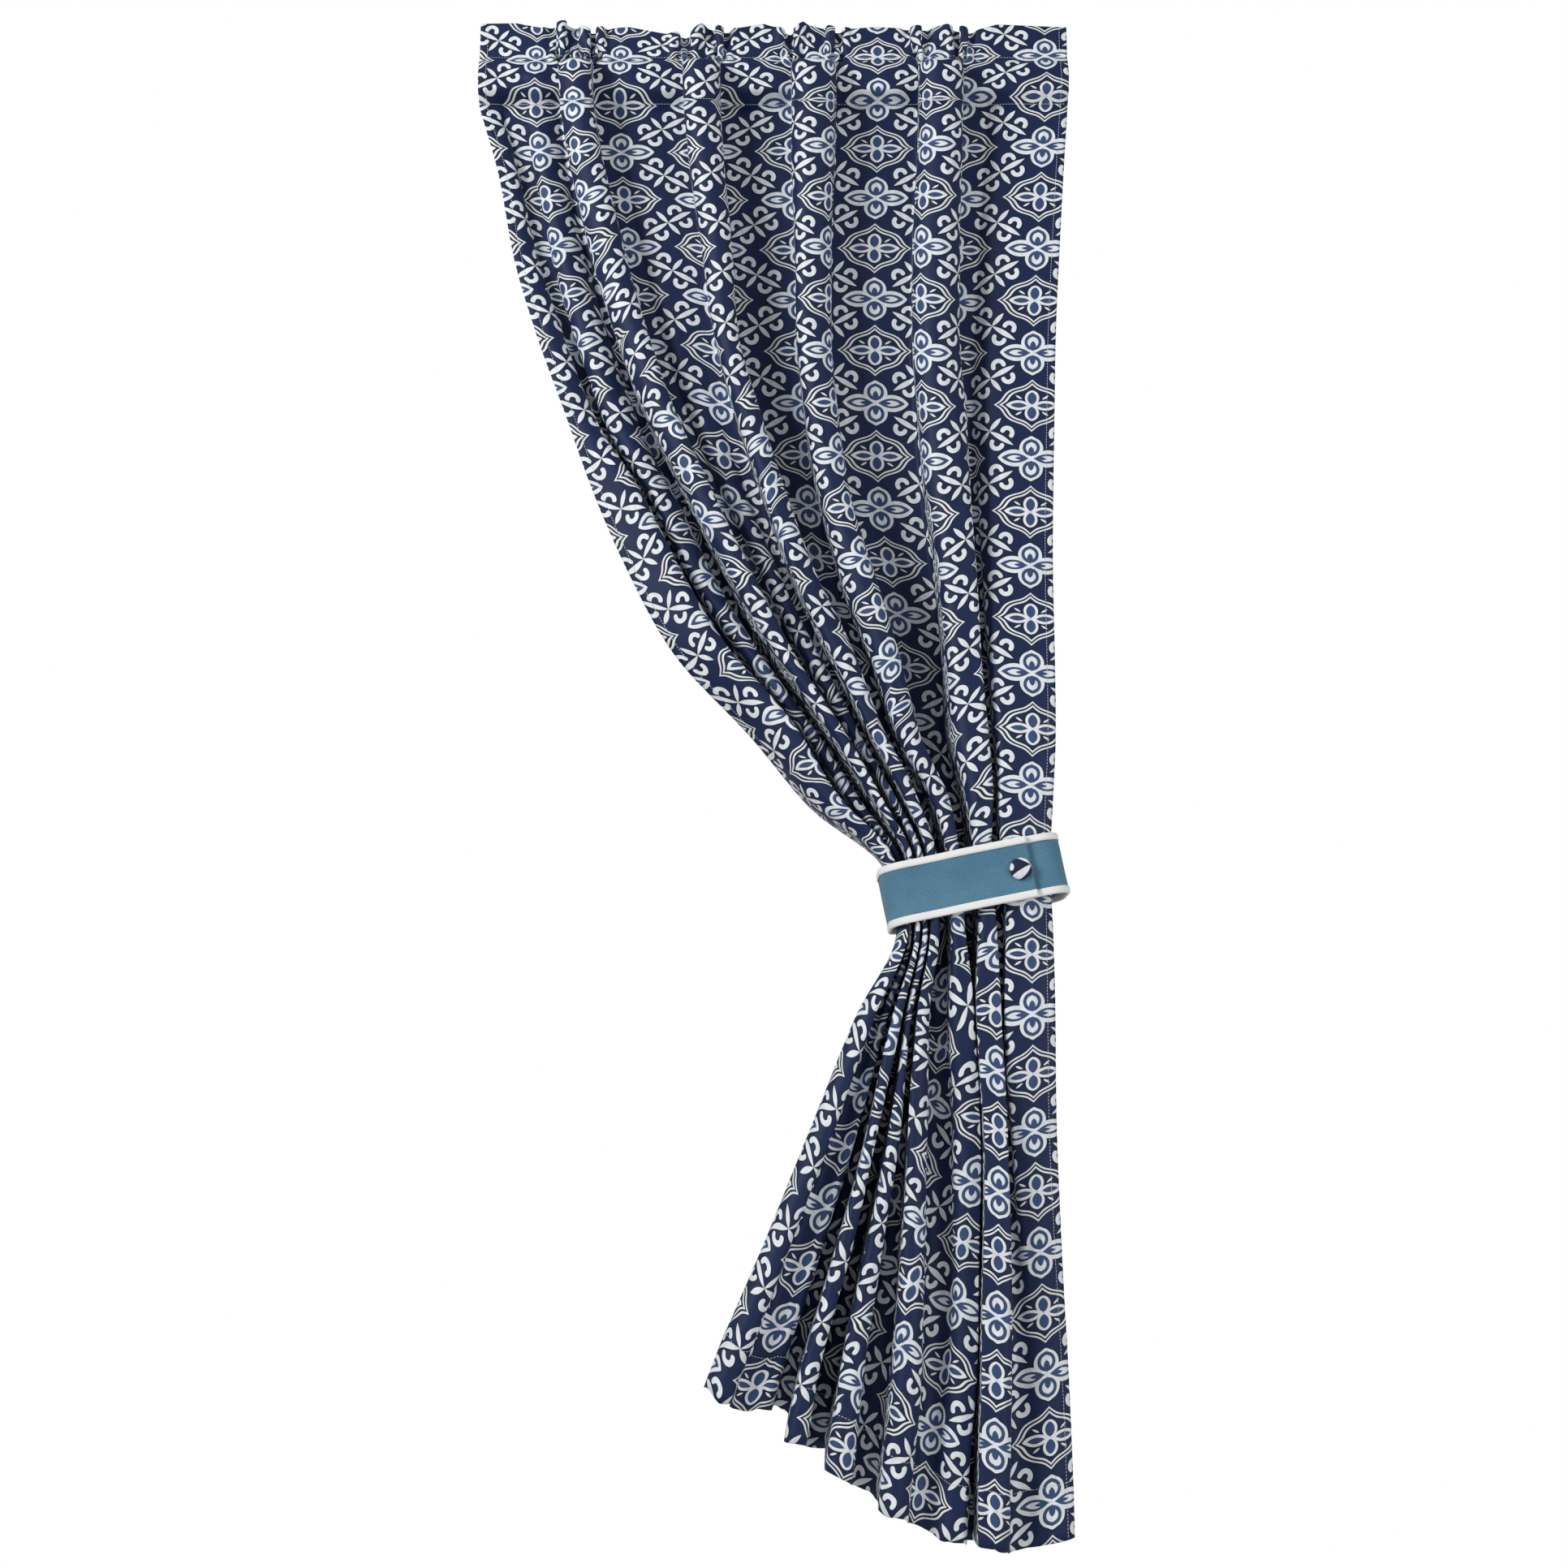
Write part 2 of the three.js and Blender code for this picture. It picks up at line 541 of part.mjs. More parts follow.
// The heading: two layers of cloth sewn together along the pocket's two seams, gathered in
// four places, with the header standing above the pocket and the rod's room between
function headingGeometry(top, threads) {
  const crests = [3, 5, 6, 7].map(
    (c) => FLAT_WIDTH - COLUMN * (EDGE_TO_COLUMN + PRINT_COLUMNS[0][c]),
  );
  const read = (place) => {
    const t = Math.min(Math.max((place / FLAT_WIDTH) * threads, 0), threads - 1e-6);
    const i = Math.floor(t);
    return [0, 1].map((n) => mix(top[i][n], top[i + 1][n], t - i));
  };
  const gathered = (place) => {
    const window = Math.min(GATHER_REACH, place, FLAT_WIDTH - place);
    let sum = 0;
    for (let k = -10; k <= 10; k++) sum += read(place + (window * k) / 10)[0];
    let y = 2;
    for (const crest of crests) {
      const away = place - crest;
      const ripple = 0.5 + 0.5 * Math.cos((2 * Math.PI * away) / GATHER_PITCH);
      y -= GATHER_DEPTH * 1.6 * Math.exp(-((away / 70) ** 2)) * ripple;
    }
    return [sum / 21, y];
  };
  // One layer of the pocket: it leaves the lower seam, passes the rod's room on its own side
  // and comes to the gathered upper seam
  const layer = (place, z, side, slack) => {
    const [x, y] = read(place);
    const [gx, gy] = gathered(place);
    const out = side * ROD_ROOM + (y - 8) * slack;
    const seam = z <= 0 ? y : gy;
    const span = z <= 0 ? -POCKET_BOTTOM : POCKET_TOP;
    const height = Math.abs(z) / span;
    const loose = mix(out, seam, smooth(height));
    const held = mix(side * ROD_ROOM, seam, smooth((Math.abs(z) - ROD_FLAT) / (span - ROD_FLAT)));
    const depth = side * Math.max(side * loose, side * held);
    return [z <= 0 ? x : mix(x, gx, smooth(height)), depth];
  };
  const front = (place, z) => layer(place, z, -1, 0.64);
  const rear = (place, z) => layer(place, z, 1, -0.3);
  const places = [0];
  while (places[places.length - 1] < FLAT_WIDTH - 1) {
    const here = places[places.length - 1];
    const near = Math.min(...crests.map((crest) => Math.abs(crest - here)));
    const step = near < 92 ? 12.5 : 21;
    places.push(here + step > FLAT_WIDTH - 8 ? FLAT_WIDTH : here + step);
  }
  const offset = (curve, place, z, by) => {
    const step = 5;
    const west = curve(Math.max(place - step, 0), z);
    const east = curve(Math.min(place + step, FLAT_WIDTH), z);
    const run = Math.hypot(east[0] - west[0], east[1] - west[1]);
    const [x, y] = curve(place, z);
    return [x - ((east[1] - west[1]) / run) * by, y + ((east[0] - west[0]) / run) * by];
  };
  const half = CLOTH / 2;
  const levels = [-ROD_FLAT, 0, ROD_FLAT];
  const stations = places.map((place) => {
    const at3 = (curve, z, by) => [...offset(curve, place, z, by), z];
    const foot = (by) => {
      const [x, y] = offset(front, place, POCKET_BOTTOM, by);
      return [x, y, POCKET_BOTTOM + SEAM_GAP / 2 + POCKET_SAG * y];
    };
    const crown = (by) => {
      const [x, y] = offset(front, place, POCKET_TOP, by);
      return [x, y * 1.25, between(TOP_EDGE, x)];
    };
    const outer = [
      foot(-half),
      ...levels.map((z) => at3(front, z, -half)),
      at3(front, POCKET_TOP, -half * 1.5),
      crown(-half * 1.5),
      crown(half * 1.5),
      at3(front, POCKET_TOP, half * 1.5),
      ...[...levels].reverse().map((z) => at3(rear, z, half)),
      foot(half * 2),
    ];
    const seam = at3(front, POCKET_TOP - 3, 0);
    const low = offset(front, place, POCKET_BOTTOM, half * 0.5);
    const lowSeam = [...low, POCKET_BOTTOM + 5 + POCKET_SAG * low[1]];
    const inner = [
      seam,
      ...[...levels].reverse().map((z) => at3(rear, z, -half)),
      lowSeam,
      ...levels.map((z) => at3(front, z, half)),
    ];
    return [outer, inner];
  });
  const plane = (ring) => ring.map(([, y, z]) => [y, z]);
  const caps = capOf(plane(stations[0][0]), plane(stations[0][1]));
  return facingOut(sweptGeometry(stations, caps));
}

// The tie band's loop: a round-cornered rectangle seen along the band's height. The distance
// runs to the left from the middle of the front; gives the place and the way out.
const LOOP_FRONT = BAND_HALF_LENGTH - BAND_CORNER;
const LOOP_SIDE = BAND_HALF_DEPTH - BAND_CORNER;
const LOOP_QUARTER = (Math.PI / 2) * BAND_CORNER;
const LOOP = 4 * (LOOP_FRONT + LOOP_SIDE + LOOP_QUARTER);
function loopAt(distance) {
  let s = ((distance % LOOP) + LOOP) % LOOP;
  const bend = (cu, cy, from, length) => {
    const a = from + length / BAND_CORNER;
    const out = [Math.cos(a), Math.sin(a)];
    return { u: cu + BAND_CORNER * out[0], y: cy + BAND_CORNER * out[1], out };
  };
  const parts = [
    [LOOP_FRONT, (d) => ({ u: -d, y: -BAND_HALF_DEPTH, out: [0, -1] })],
    [LOOP_QUARTER, (d) => bend(-LOOP_FRONT, -LOOP_SIDE, -Math.PI / 2, -d)],
    [2 * LOOP_SIDE, (d) => ({ u: -BAND_HALF_LENGTH, y: d - LOOP_SIDE, out: [-1, 0] })],
    [LOOP_QUARTER, (d) => bend(-LOOP_FRONT, LOOP_SIDE, Math.PI, -d)],
    [2 * LOOP_FRONT, (d) => ({ u: d - LOOP_FRONT, y: BAND_HALF_DEPTH, out: [0, 1] })],
    [LOOP_QUARTER, (d) => bend(LOOP_FRONT, LOOP_SIDE, Math.PI / 2, -d)],
    [2 * LOOP_SIDE, (d) => ({ u: BAND_HALF_LENGTH, y: LOOP_SIDE - d, out: [1, 0] })],
    [LOOP_QUARTER, (d) => bend(LOOP_FRONT, -LOOP_SIDE, 0, -d)],
    [LOOP_FRONT, (d) => ({ u: LOOP_FRONT - d, y: -BAND_HALF_DEPTH, out: [0, -1] })],
  ];
  for (const [length, make] of parts) {
    if (s <= length) return make(s);
    s -= length;
  }
  return parts[8][1](LOOP_FRONT);
}

// From the band's own frame to the part's frame
function bandPoint(u, y, v) {
  const [x0, y0, z0] = BAND_CENTRE;
  const cos = Math.cos(BAND_TILT);
  const sin = Math.sin(BAND_TILT);
  return [x0 + u * cos - v * sin, y0 + y, z0 + u * sin + v * cos];
}

// A strip that runs to the right from under its own free end, once round the loop, and laps
// over its start at the front
function strip(ring) {
  const start = FREE_END - BAND_LAP;
  const end = LOOP + FREE_END;
  const count = 78;
  const stations = Array.from({ length: count + 1 }, (_, i) => {
    const s = mix(start, end, i / count);
    const { u, y, out } = loopAt(-s);
    const lift = BAND_LIFT * smooth((s - (end - BAND_LAP - LIFT_RUN)) / (LIFT_RUN - LAP_CLEAR));
    return [ring.map(([t, v]) => bandPoint(u + out[0] * (t + lift), y + out[1] * (t + lift), v))];
  });
  return facingOut(sweptGeometry(stations, capOf(ring)));
}

function bandRing() {
  const t = BAND_THICK / 2;
  const v = BAND_HEIGHT / 2 - BINDING_CLOTH - SEAM_GAP;
  return [[-t, -v], [t, -v], [t, v], [-t, v]];
}

// The binding folds over the band's edge, so its section is a U
function bindingRing(side) {
  const inner = BAND_THICK / 2 + SEAM_GAP;
  const outer = inner + BINDING_CLOTH;
  const edge = BAND_HEIGHT / 2;
  const foot = edge - BINDING_HEIGHT;
  const floor = edge - BINDING_CLOTH;
  const ring = [
    [-outer, foot], [-outer, edge], [outer, edge], [outer, foot],
    [inner, foot], [inner, floor], [-inner, floor], [-inner, foot],
  ];
  return ring.map(([t, v]) => [t, v * side]);
}

// The covered button: a low dome with a rounded rim, standing on the band's front
function buttonGeometry() {
  const radius = BUTTON_DIAMETER / 2;
  const foot = BAND_HALF_DEPTH + BAND_LIFT + BAND_THICK / 2 + SEAM_GAP;
  const centre = [FREE_END - radius - 0.6, -1.3];
  const profile = [[0.8, 0], [1, 1.6], [0.98, 3], [0.87, 5], [0.62, 6.8], [0.3, BUTTON_DOME - 0.3]];
  const around = 28;
  const positions = [];
  const index = [];
  const put = (r, h, a) => {
    const u = centre[0] + r * Math.cos(a);
    positions.push(...bandPoint(u, -foot - h, centre[1] + r * Math.sin(a)));
  };
  put(0, 0, 0);
  profile.forEach(([share, h]) => {
    for (let i = 0; i < around; i++) put(radius * share, h, (2 * Math.PI * i) / around);
  });
  put(0, BUTTON_DOME, 0);
  const id = (ring, i) => 1 + ring * around + (i % around);
  const last = 1 + profile.length * around;
  for (let i = 0; i < around; i++) {
    index.push(0, id(0, i), id(0, i + 1));
    for (let r = 0; r < profile.length - 1; r++) {
      index.push(id(r, i), id(r + 1, i), id(r, i + 1));
      index.push(id(r, i + 1), id(r + 1, i), id(r + 1, i + 1));
    }
    index.push(id(profile.length - 1, i), last, id(profile.length - 1, i + 1));
  }
  const geometry = new THREE.BufferGeometry();
  geometry.setAttribute("position", new THREE.Float32BufferAttribute(positions, 3));
  geometry.setIndex(index);
  geometry.computeVertexNormals();
  return facingOut(geometry);
}

// Rows of the panel, as lengths of cloth below the top edge, closest together at the tie band
const ROW_SPANS = [
  [LENGTH_AT_POCKET, 1120, 12],
  [1120, 1520, 11],
  [1520, FINISHED_LENGTH, 7],
];
const rowStations = [LENGTH_AT_POCKET];
for (const [from, to, count] of ROW_SPANS) {
  for (let i = 1; i <= count; i++) rowStations.push(mix(from, to, i / count));
}
const { grid, top, threads } = panelGrid(rowStations);
const panelGeometry = sheetGeometry(grid, CLOTH, (p, row) => {
  if (row === 0) p.z = POCKET_BOTTOM - SEAM_GAP / 2 + POCKET_SAG * p.y;
});

const curtain = new THREE.Group();
curtain.name = "curtain";
const add = (name, geometry, color, roughness) => {
  const mesh = new THREE.Mesh(geometry, new THREE.MeshStandardMaterial({ color, roughness }));
  mesh.name = name;
  curtain.add(mesh);
};
add("panel", facingOut(panelGeometry), 0x27386f, 0.6);
add("heading", headingGeometry(top, threads), 0x2b3d76, 0.6);
add("tie_band", strip(bandRing()), 0x5a8ea9, 0.85);
add("binding_top", strip(bindingRing(1)), 0xf1efea, 0.85);
add("binding_bottom", strip(bindingRing(-1)), 0xefede8, 0.85);
add("button", buttonGeometry(), 0x31457f, 0.55);

export default curtain;
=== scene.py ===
# %% [markdown]
# A printed curtain panel, gathered on a rod pocket, drawn to the right and held by a bound band.
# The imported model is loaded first, as a fixed frame in metres: X to the viewer's right, Y away from
# the viewer, Z up, and the origin in the middle of the rod pocket. Its solids are plain sheets 2 mm
# thick. Here each of them is replaced by a finer cloth in the same place.

# %% The frame
import math
from functools import partial, reduce

import bpy
import numpy as np
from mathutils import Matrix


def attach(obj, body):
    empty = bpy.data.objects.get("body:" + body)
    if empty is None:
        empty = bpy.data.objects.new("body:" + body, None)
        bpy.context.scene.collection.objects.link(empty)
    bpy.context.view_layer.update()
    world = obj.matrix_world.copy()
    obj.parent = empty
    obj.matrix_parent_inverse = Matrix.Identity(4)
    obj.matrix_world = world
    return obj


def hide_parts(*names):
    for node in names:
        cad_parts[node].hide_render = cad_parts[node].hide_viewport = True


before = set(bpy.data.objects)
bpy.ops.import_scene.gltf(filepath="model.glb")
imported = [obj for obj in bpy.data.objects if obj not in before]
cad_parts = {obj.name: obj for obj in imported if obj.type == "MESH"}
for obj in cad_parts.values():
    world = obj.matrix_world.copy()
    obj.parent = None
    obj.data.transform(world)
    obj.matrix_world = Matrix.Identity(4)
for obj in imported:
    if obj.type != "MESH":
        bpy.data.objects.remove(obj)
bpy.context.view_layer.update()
print("nodes in the frame:", sorted(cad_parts))

# %% [markdown]
# Real cloth does not stretch. So the curtain is not drawn as it looks: the script holds the size that
# it was cut to and the places where it is folded, and works out where each thread ends. All sizes are
# in millimetres, and only the finished meshes are in metres.

# %% Sizes of the cloth
MM = 0.001
FLAT_WIDTH = 1321
FINISHED_LENGTH = 2134
COLUMN = 120
# The first column of the print lies this share of a column from the right edge
EDGE_TO_COLUMN = 0.27
HEADER_HEIGHT = 53
POCKET_HEIGHT = 73
POCKET_TOP = 36
POCKET_BOTTOM = POCKET_TOP - POCKET_HEIGHT
LENGTH_AT_POCKET = HEADER_HEIGHT + POCKET_HEIGHT
# The pocket's lower seam dips by this share of the way that it stands forward
POCKET_SAG = 0.42
SIDE_HEM = 11
BOTTOM_HEM = 75
print(f"flat cloth {FLAT_WIDTH} x {FINISHED_LENGTH} mm, pocket from {POCKET_BOTTOM} to {POCKET_TOP}")

# %% [markdown]
# The folds are kept in short tables, one row for each level. The crests of the cloth are called
# z f a g b c d p from left to right, and z and p lie beside its two edges. The tables say where each
# crest lies, which column of the print is on it, how far forward it stands and how flat the cloth is
# beside it.

# %% Tables of the drape
# Height, left outline, X of the crests f a g b c d, right edge
LEVELS = [
    [-37, -432, -349, -283, -201, -108, 57, 247, 432],
    [-147, -400, -330, -265, -184, -98, 54, 242, 423],
    [-273, -376, -299, -235, -159, -80, 50, 233, 414],
    [-396, -339, -263, -198, -134, -67, 50, 231, 406],
    [-518, -295, -221, -153, -98, -38, 63, 234, 401],
    [-639, -252, -158, -99, -51, -3, 85, 240, 396],
    [-756, -201, -101, -43, 2, 34, 120, 251, 392],
    [-872, -136, -25, 15, 55, 91, 156, 258, 390],
    [-987, -26, 55, 91, 115, 141, 181, 268, 388],
    [-1076, 50, 112, 142, 164, 185, 226, 279, 382],
    [-1166, 149, 173, 187, 201, 215, 243, 282, 376],
    [-1254, 168, 186, 195, 205, 216, 247, 289, 377],
    [-1373, 112, 150, 167, 182, 196, 250, 291, 377],
    [-1533, 47, 105, 130, 161, 186, 260, 295, 378],
    [-1689, -19, 53, 90, 129, 180, 258, 291, 383],
    [-1841, -82, 0, 45, 100, 174, 251, 286, 389],
    [-1941, -120, -30, 25, 86, 162, 240, 282, 391],
    [-2132, -191, -85, -10, 62, 141, 225, 279, 388],
]
# Height, then the print's column on the crests z f a g b c d p, counted from the right edge
PRINT_COLUMNS = [
    [-37, 10.66, 10.0, 8.95, 7.8, 6.58, 4.25, 1.77, 0.35],
    [-396, 10.6, 9.75, 8.5, 7.45, 6.5, 4.3, 1.8, 0.35],
    [-518, 10.57, 9.53, 8.17, 7.2, 6.31, 4.24, 1.76, 0.33],
    [-639, 10.3, 9.3, 7.85, 6.9, 6.0, 4.15, 1.7, 0.3],
    [-872, 10.2, 9.05, 7.55, 6.4, 5.4, 4.05, 1.6, 0.25],
    [-1076, 10.05, 8.75, 7.35, 6.0, 4.75, 3.4, 1.35, 0.2],
    [-1197, 10.05, 8.9, 7.5, 5.95, 4.5, 2.95, 1.2, 0.2],
    [-1250, 10.0, 8.92, 7.52, 5.97, 4.52, 3.0, 1.15, 0.2],
    [-1312, 9.7, 9.0, 7.85, 5.95, 4.67, 3.45, 1.08, 0.2],
    [-1373, 9.55, 9.05, 7.95, 5.9, 4.7, 3.6, 1.05, 0.2],
    [-1533, 9.5, 9.0, 7.75, 5.75, 4.45, 3.15, 1.02, 0.15],
    [-1689, 9.5, 8.95, 7.55, 5.45, 4.1, 2.9, 1.02, 0.08],
    [-1841, 9.5, 8.87, 7.45, 5.2, 3.8, 2.7, 1.02, 0.03],
    [-2060, 9.5, 8.75, 7.35, 4.95, 3.4, 2.45, 1.02, 0.0],
]
# Height, then the Y of the crests z f a g b c d p
DEPTHS = [
    [-37, 2, 2, -62, 2, -62, -62, -62, 2],
    [-396, -5, 2, -54, 2, -54, -54, -54, 2],
    [-639, -25, 0, -48, 0, -48, -48, -46, -5],
    [-872, -40, -5, -46, -10, -46, -46, -46, -25],
    [-1076, -42, -12, -47, -25, -47, -47, -47, -38],
    [-1197, -38, -25, -46, -44, -48, -48, -48, -46],
    [-1373, -42, -18, -48, -42, -49, -42, -49, -43],
    [-1533, -45, -18, -50, -43, -50, -28, -50, -26],
    [-1689, -48, -18, -52, -45, -52, -24, -52, -8],
    [-1841, -50, -18, -53, -50, -53, -26, -53, -3],
    [-2060, -52, -18, -55, -55, -55, -34, -55, -7],
]
# Height, then the flat share of the sides z-f f-a a-g g-b b-c c-d d-p: minus by the valley, plus by
# the crest
FLATS = [
    [-37, -0.3, 0, -0.2, -0.2, -0.35, -0.38, -0.2],
    [-396, -0.1, 0, -0.15, -0.15, -0.3, -0.36, -0.1],
    [-639, 0, 0, -0.1, -0.1, -0.15, -0.32, 0.12],
    [-872, 0, 0, 0, 0, 0, -0.15, 0.22],
    [-1076, 0, 0, 0, 0, 0, 0, 0.22],
    [-1197, 0, 0, 0, 0, 0, 0, 0.05],
    [-1373, 0, 0, 0, 0, 0, 0.12, 0.2],
    [-1689, 0, 0, 0, 0, 0, 0.12, 0.16],
    [-2060, 0, 0, 0, 0, 0, 0.12, 0.05],
]
# Height, roundness, crest bias, left turn in degrees, left radius, right turn in degrees
EDGES = [
    [-37, 0.98, 0.8, 10, 60, 0],
    [-396, 1.1, 0.7, 22, 60, 0],
    [-639, 1.05, 0.5, 10, 80, 4],
    [-872, 0.98, 0.3, 24, 60, 8],
    [-1076, 0.95, 0.1, 88, 32, 18],
    [-1197, 0.94, 0, 98, 12, 42],
    [-1373, 0.94, 0, 98, 20, 20],
    [-1689, 0.96, 0, 125, 25, 36],
    [-2060, 0.96, 0, 130, 26, 48],
]
# Print column, length of cloth drawn up through the tie band
DRAWN_UP = [
    [-0.27, -4], [0.05, -11], [0.35, -20], [0.95, -19], [1.3, 6], [1.7, 17], [1.95, 8], [2.15, -11],
    [2.3, -42], [2.6, -62], [3.2, -60], [3.55, -64], [3.75, -50], [3.95, -4], [4.2, 24], [4.7, 19],
    [5.0, 0], [5.6, -10], [6.1, 28], [6.5, 40], [6.8, 37], [7.25, 4], [7.55, -6], [8.3, -4], [8.6, 20],
    [8.9, 24], [9.2, 3], [9.5, -17], [9.8, -22], [10.74, -22],
]
DRAWN_FROM = -1250
DRAWN_TO = -1480
print(f"{len(LEVELS)} levels from {LEVELS[0][0]} to {LEVELS[-1][0]} mm")

# %% [markdown]
# Between two rows of a table the value has to run smoothly and must not swing past either of them, or
# the cloth would show bumps that nobody put there. A monotone cubic does that.

# %% Reading the tables
def read(table, heights):
    """A table at many heights, one row for each: cubics whose slope at a row of the table is the weighted
    harmonic mean of the rises on both sides, or zero where they have opposite signs."""
    rows = np.asarray(table, float)
    key, value = -rows[:, 0], rows[:, 1:]
    span = np.diff(key)[:, None]
    rise = np.diff(value, axis=0) / span
    before, after = rise[:-1], rise[1:]
    same = before * after > 0
    a = 2 * span[1:] + span[:-1]
    b = span[1:] + 2 * span[:-1]
    mean = (a + b) / (a / np.where(same, before, 1) + b / np.where(same, after, 1))
    slope = np.concatenate([rise[:1], np.where(same, mean, 0), rise[-1:]])
    k = np.clip(-np.asarray(heights, float), key[0], key[-1])
    i = np.clip(np.searchsorted(key, k) - 1, 0, len(span) - 1)
    u = (k - key[i])[:, None] / span[i]
    v = 1 - u
    ends = (1 + 2 * u) * v * v * value[i] + u * u * (3 - 2 * u) * value[i + 1]
    return ends + u * v * span[i] * (v * slope[i] - u * slope[i + 1])


def smooth(u):
    """Soft step: 3u² - 2u³ between 0 and 1."""
    t = np.clip(u, 0, 1)
    return t * t * (3 - 2 * t)


def mix(a, b, u):
    """Straight way from a to b."""
    return a + (b - a) * u


def piecewise(at, knots, values):
    """Straight pieces from knot to knot, whose values may be arrays: the rises are added up as far as
    the place reaches."""
    total = values[0]
    for a, b, here, after in zip(knots, knots[1:], values, values[1:]):
        total = total + (after - here) * np.clip((at - a) / (b - a), 0, 1)
    return total


print("left outline half way down:", read(LEVELS, [-1076])[0, 0])

# %% [markdown]
# One side of a fold, from its crest to its valley, is an arc, a straight part and an arc back. Its
# length is the cloth's own and its chord is the room that it has, so the less room there is the
# steeper it stands. The angle has no closed formula and is found by halving an interval.

# %% The side of a fold
HALVINGS = 40
STEEPEST = 2.4
ARC_SHARE = 0.785


def halve(low, high, too_low):
    """Halves an interval in every place of an array at once, by a test of its middle."""
    for _ in range(HALVINGS):
        middle = (low + high) / 2
        rising = too_low(middle)
        low, high = np.where(rising, middle, low), np.where(rising, high, middle)
    return (low + high) / 2


def fold_side(ratio, flat, roundness):
    """Steepest angle and the arcs' share of a side, from chord / length."""
    still = np.abs(flat)
    chord = np.clip((ratio - still) / (1 - still), 0.03, 0.9999)
    share = np.clip(roundness * ARC_SHARE * chord, 0.02, 0.5)

    def too_long(angle):
        """Where a side at this angle still reaches further than its chord."""
        return 2 * share * np.sin(angle) / angle + (1 - 2 * share) * np.cos(angle) > chord

    return halve(1e-4, STEEPEST, too_long), share


def along_side(t, angle, share, flat, bias):
    """Point of a side of length 1 at the share t of its length, from the crest: run and drop. The bias
    makes the crest's arc longer and the valley's shorter."""
    still, lead = np.abs(flat), np.maximum(flat, 0)
    u = np.clip((t - lead) / (1 - still), 0, 1)
    level = np.minimum(t, lead) + np.maximum(t - (1 - still + lead), 0)
    first, last = share * (1 + bias), share * (1 - bias)
    k1, k2 = first / angle, last / angle
    straight = np.clip(u - first, 0, 1 - first - last)
    turn1 = np.minimum(u, first) / k1
    turn2 = np.minimum(1 - u, last) / k2
    sin, cos = np.sin(angle), np.cos(angle)
    run = k1 * np.sin(turn1) + straight * cos + k2 * (sin - np.sin(turn2))
    drop = k1 * (1 - np.cos(turn1)) + straight * sin + k2 * (np.cos(turn2) - cos)
    return level + (1 - still) * run, (1 - still) * drop


def side_columns(count, share, flat, bias):
    """Shares of a side where the mesh has its columns: most of them on the two arcs."""
    still, lead = np.abs(flat), np.maximum(flat, 0)
    start = np.maximum(lead, 0.012)
    arc_end = np.maximum(lead + (1 - still) * share * (1 + bias), start + 0.03)
    foot = np.minimum(lead + 1 - still, 0.988)
    arc_back = np.clip(lead + (1 - still) * (1 - share * (1 - bias)), arc_end + 0.01, foot - 0.02)
    values = [0 * start, start, np.minimum(arc_end, foot - 0.04), arc_back, foot, 0 * start + 1]
    return piecewise(np.arange(count) / count, [0, 0.05, 0.45, 0.55, 0.95, 1], values)


angle, share = fold_side(np.array([0.5]), np.array([0.0]), 1.0)
print(f"a side with half the room for its length stands at {math.degrees(angle[0]):.0f} degrees")

# %% [markdown]
# A level section of the whole cloth is fourteen such sides, with a rolled-back strip at the left edge
# and a slightly bowed strip at the right. Where the cloth is drawn sideways, a level cut runs across
# it at a slant and is longer than the cloth is wide, so widths are first stretched by that slant.
# All levels are worked out together, as arrays with one row for each level.

# %% Sections of the cloth
SIDE_COLUMNS = 16
TAIL_COLUMNS = 20
EDGE_COLUMNS = 12
SLANT_STEPS = 80
SLOPE_REACH = 40
# The slant counts in full where the cloth has at least 1 / 1.6 of its width
SLANT_FULL = 1.6
LEVEL_STEP = 13.05
LEVEL_COUNT = 161


def interp_rows(wanted, known, values):
    """Linear interpolation row by row."""
    return np.array([np.interp(w, k, v) for w, k, v in zip(wanted, known, values)])


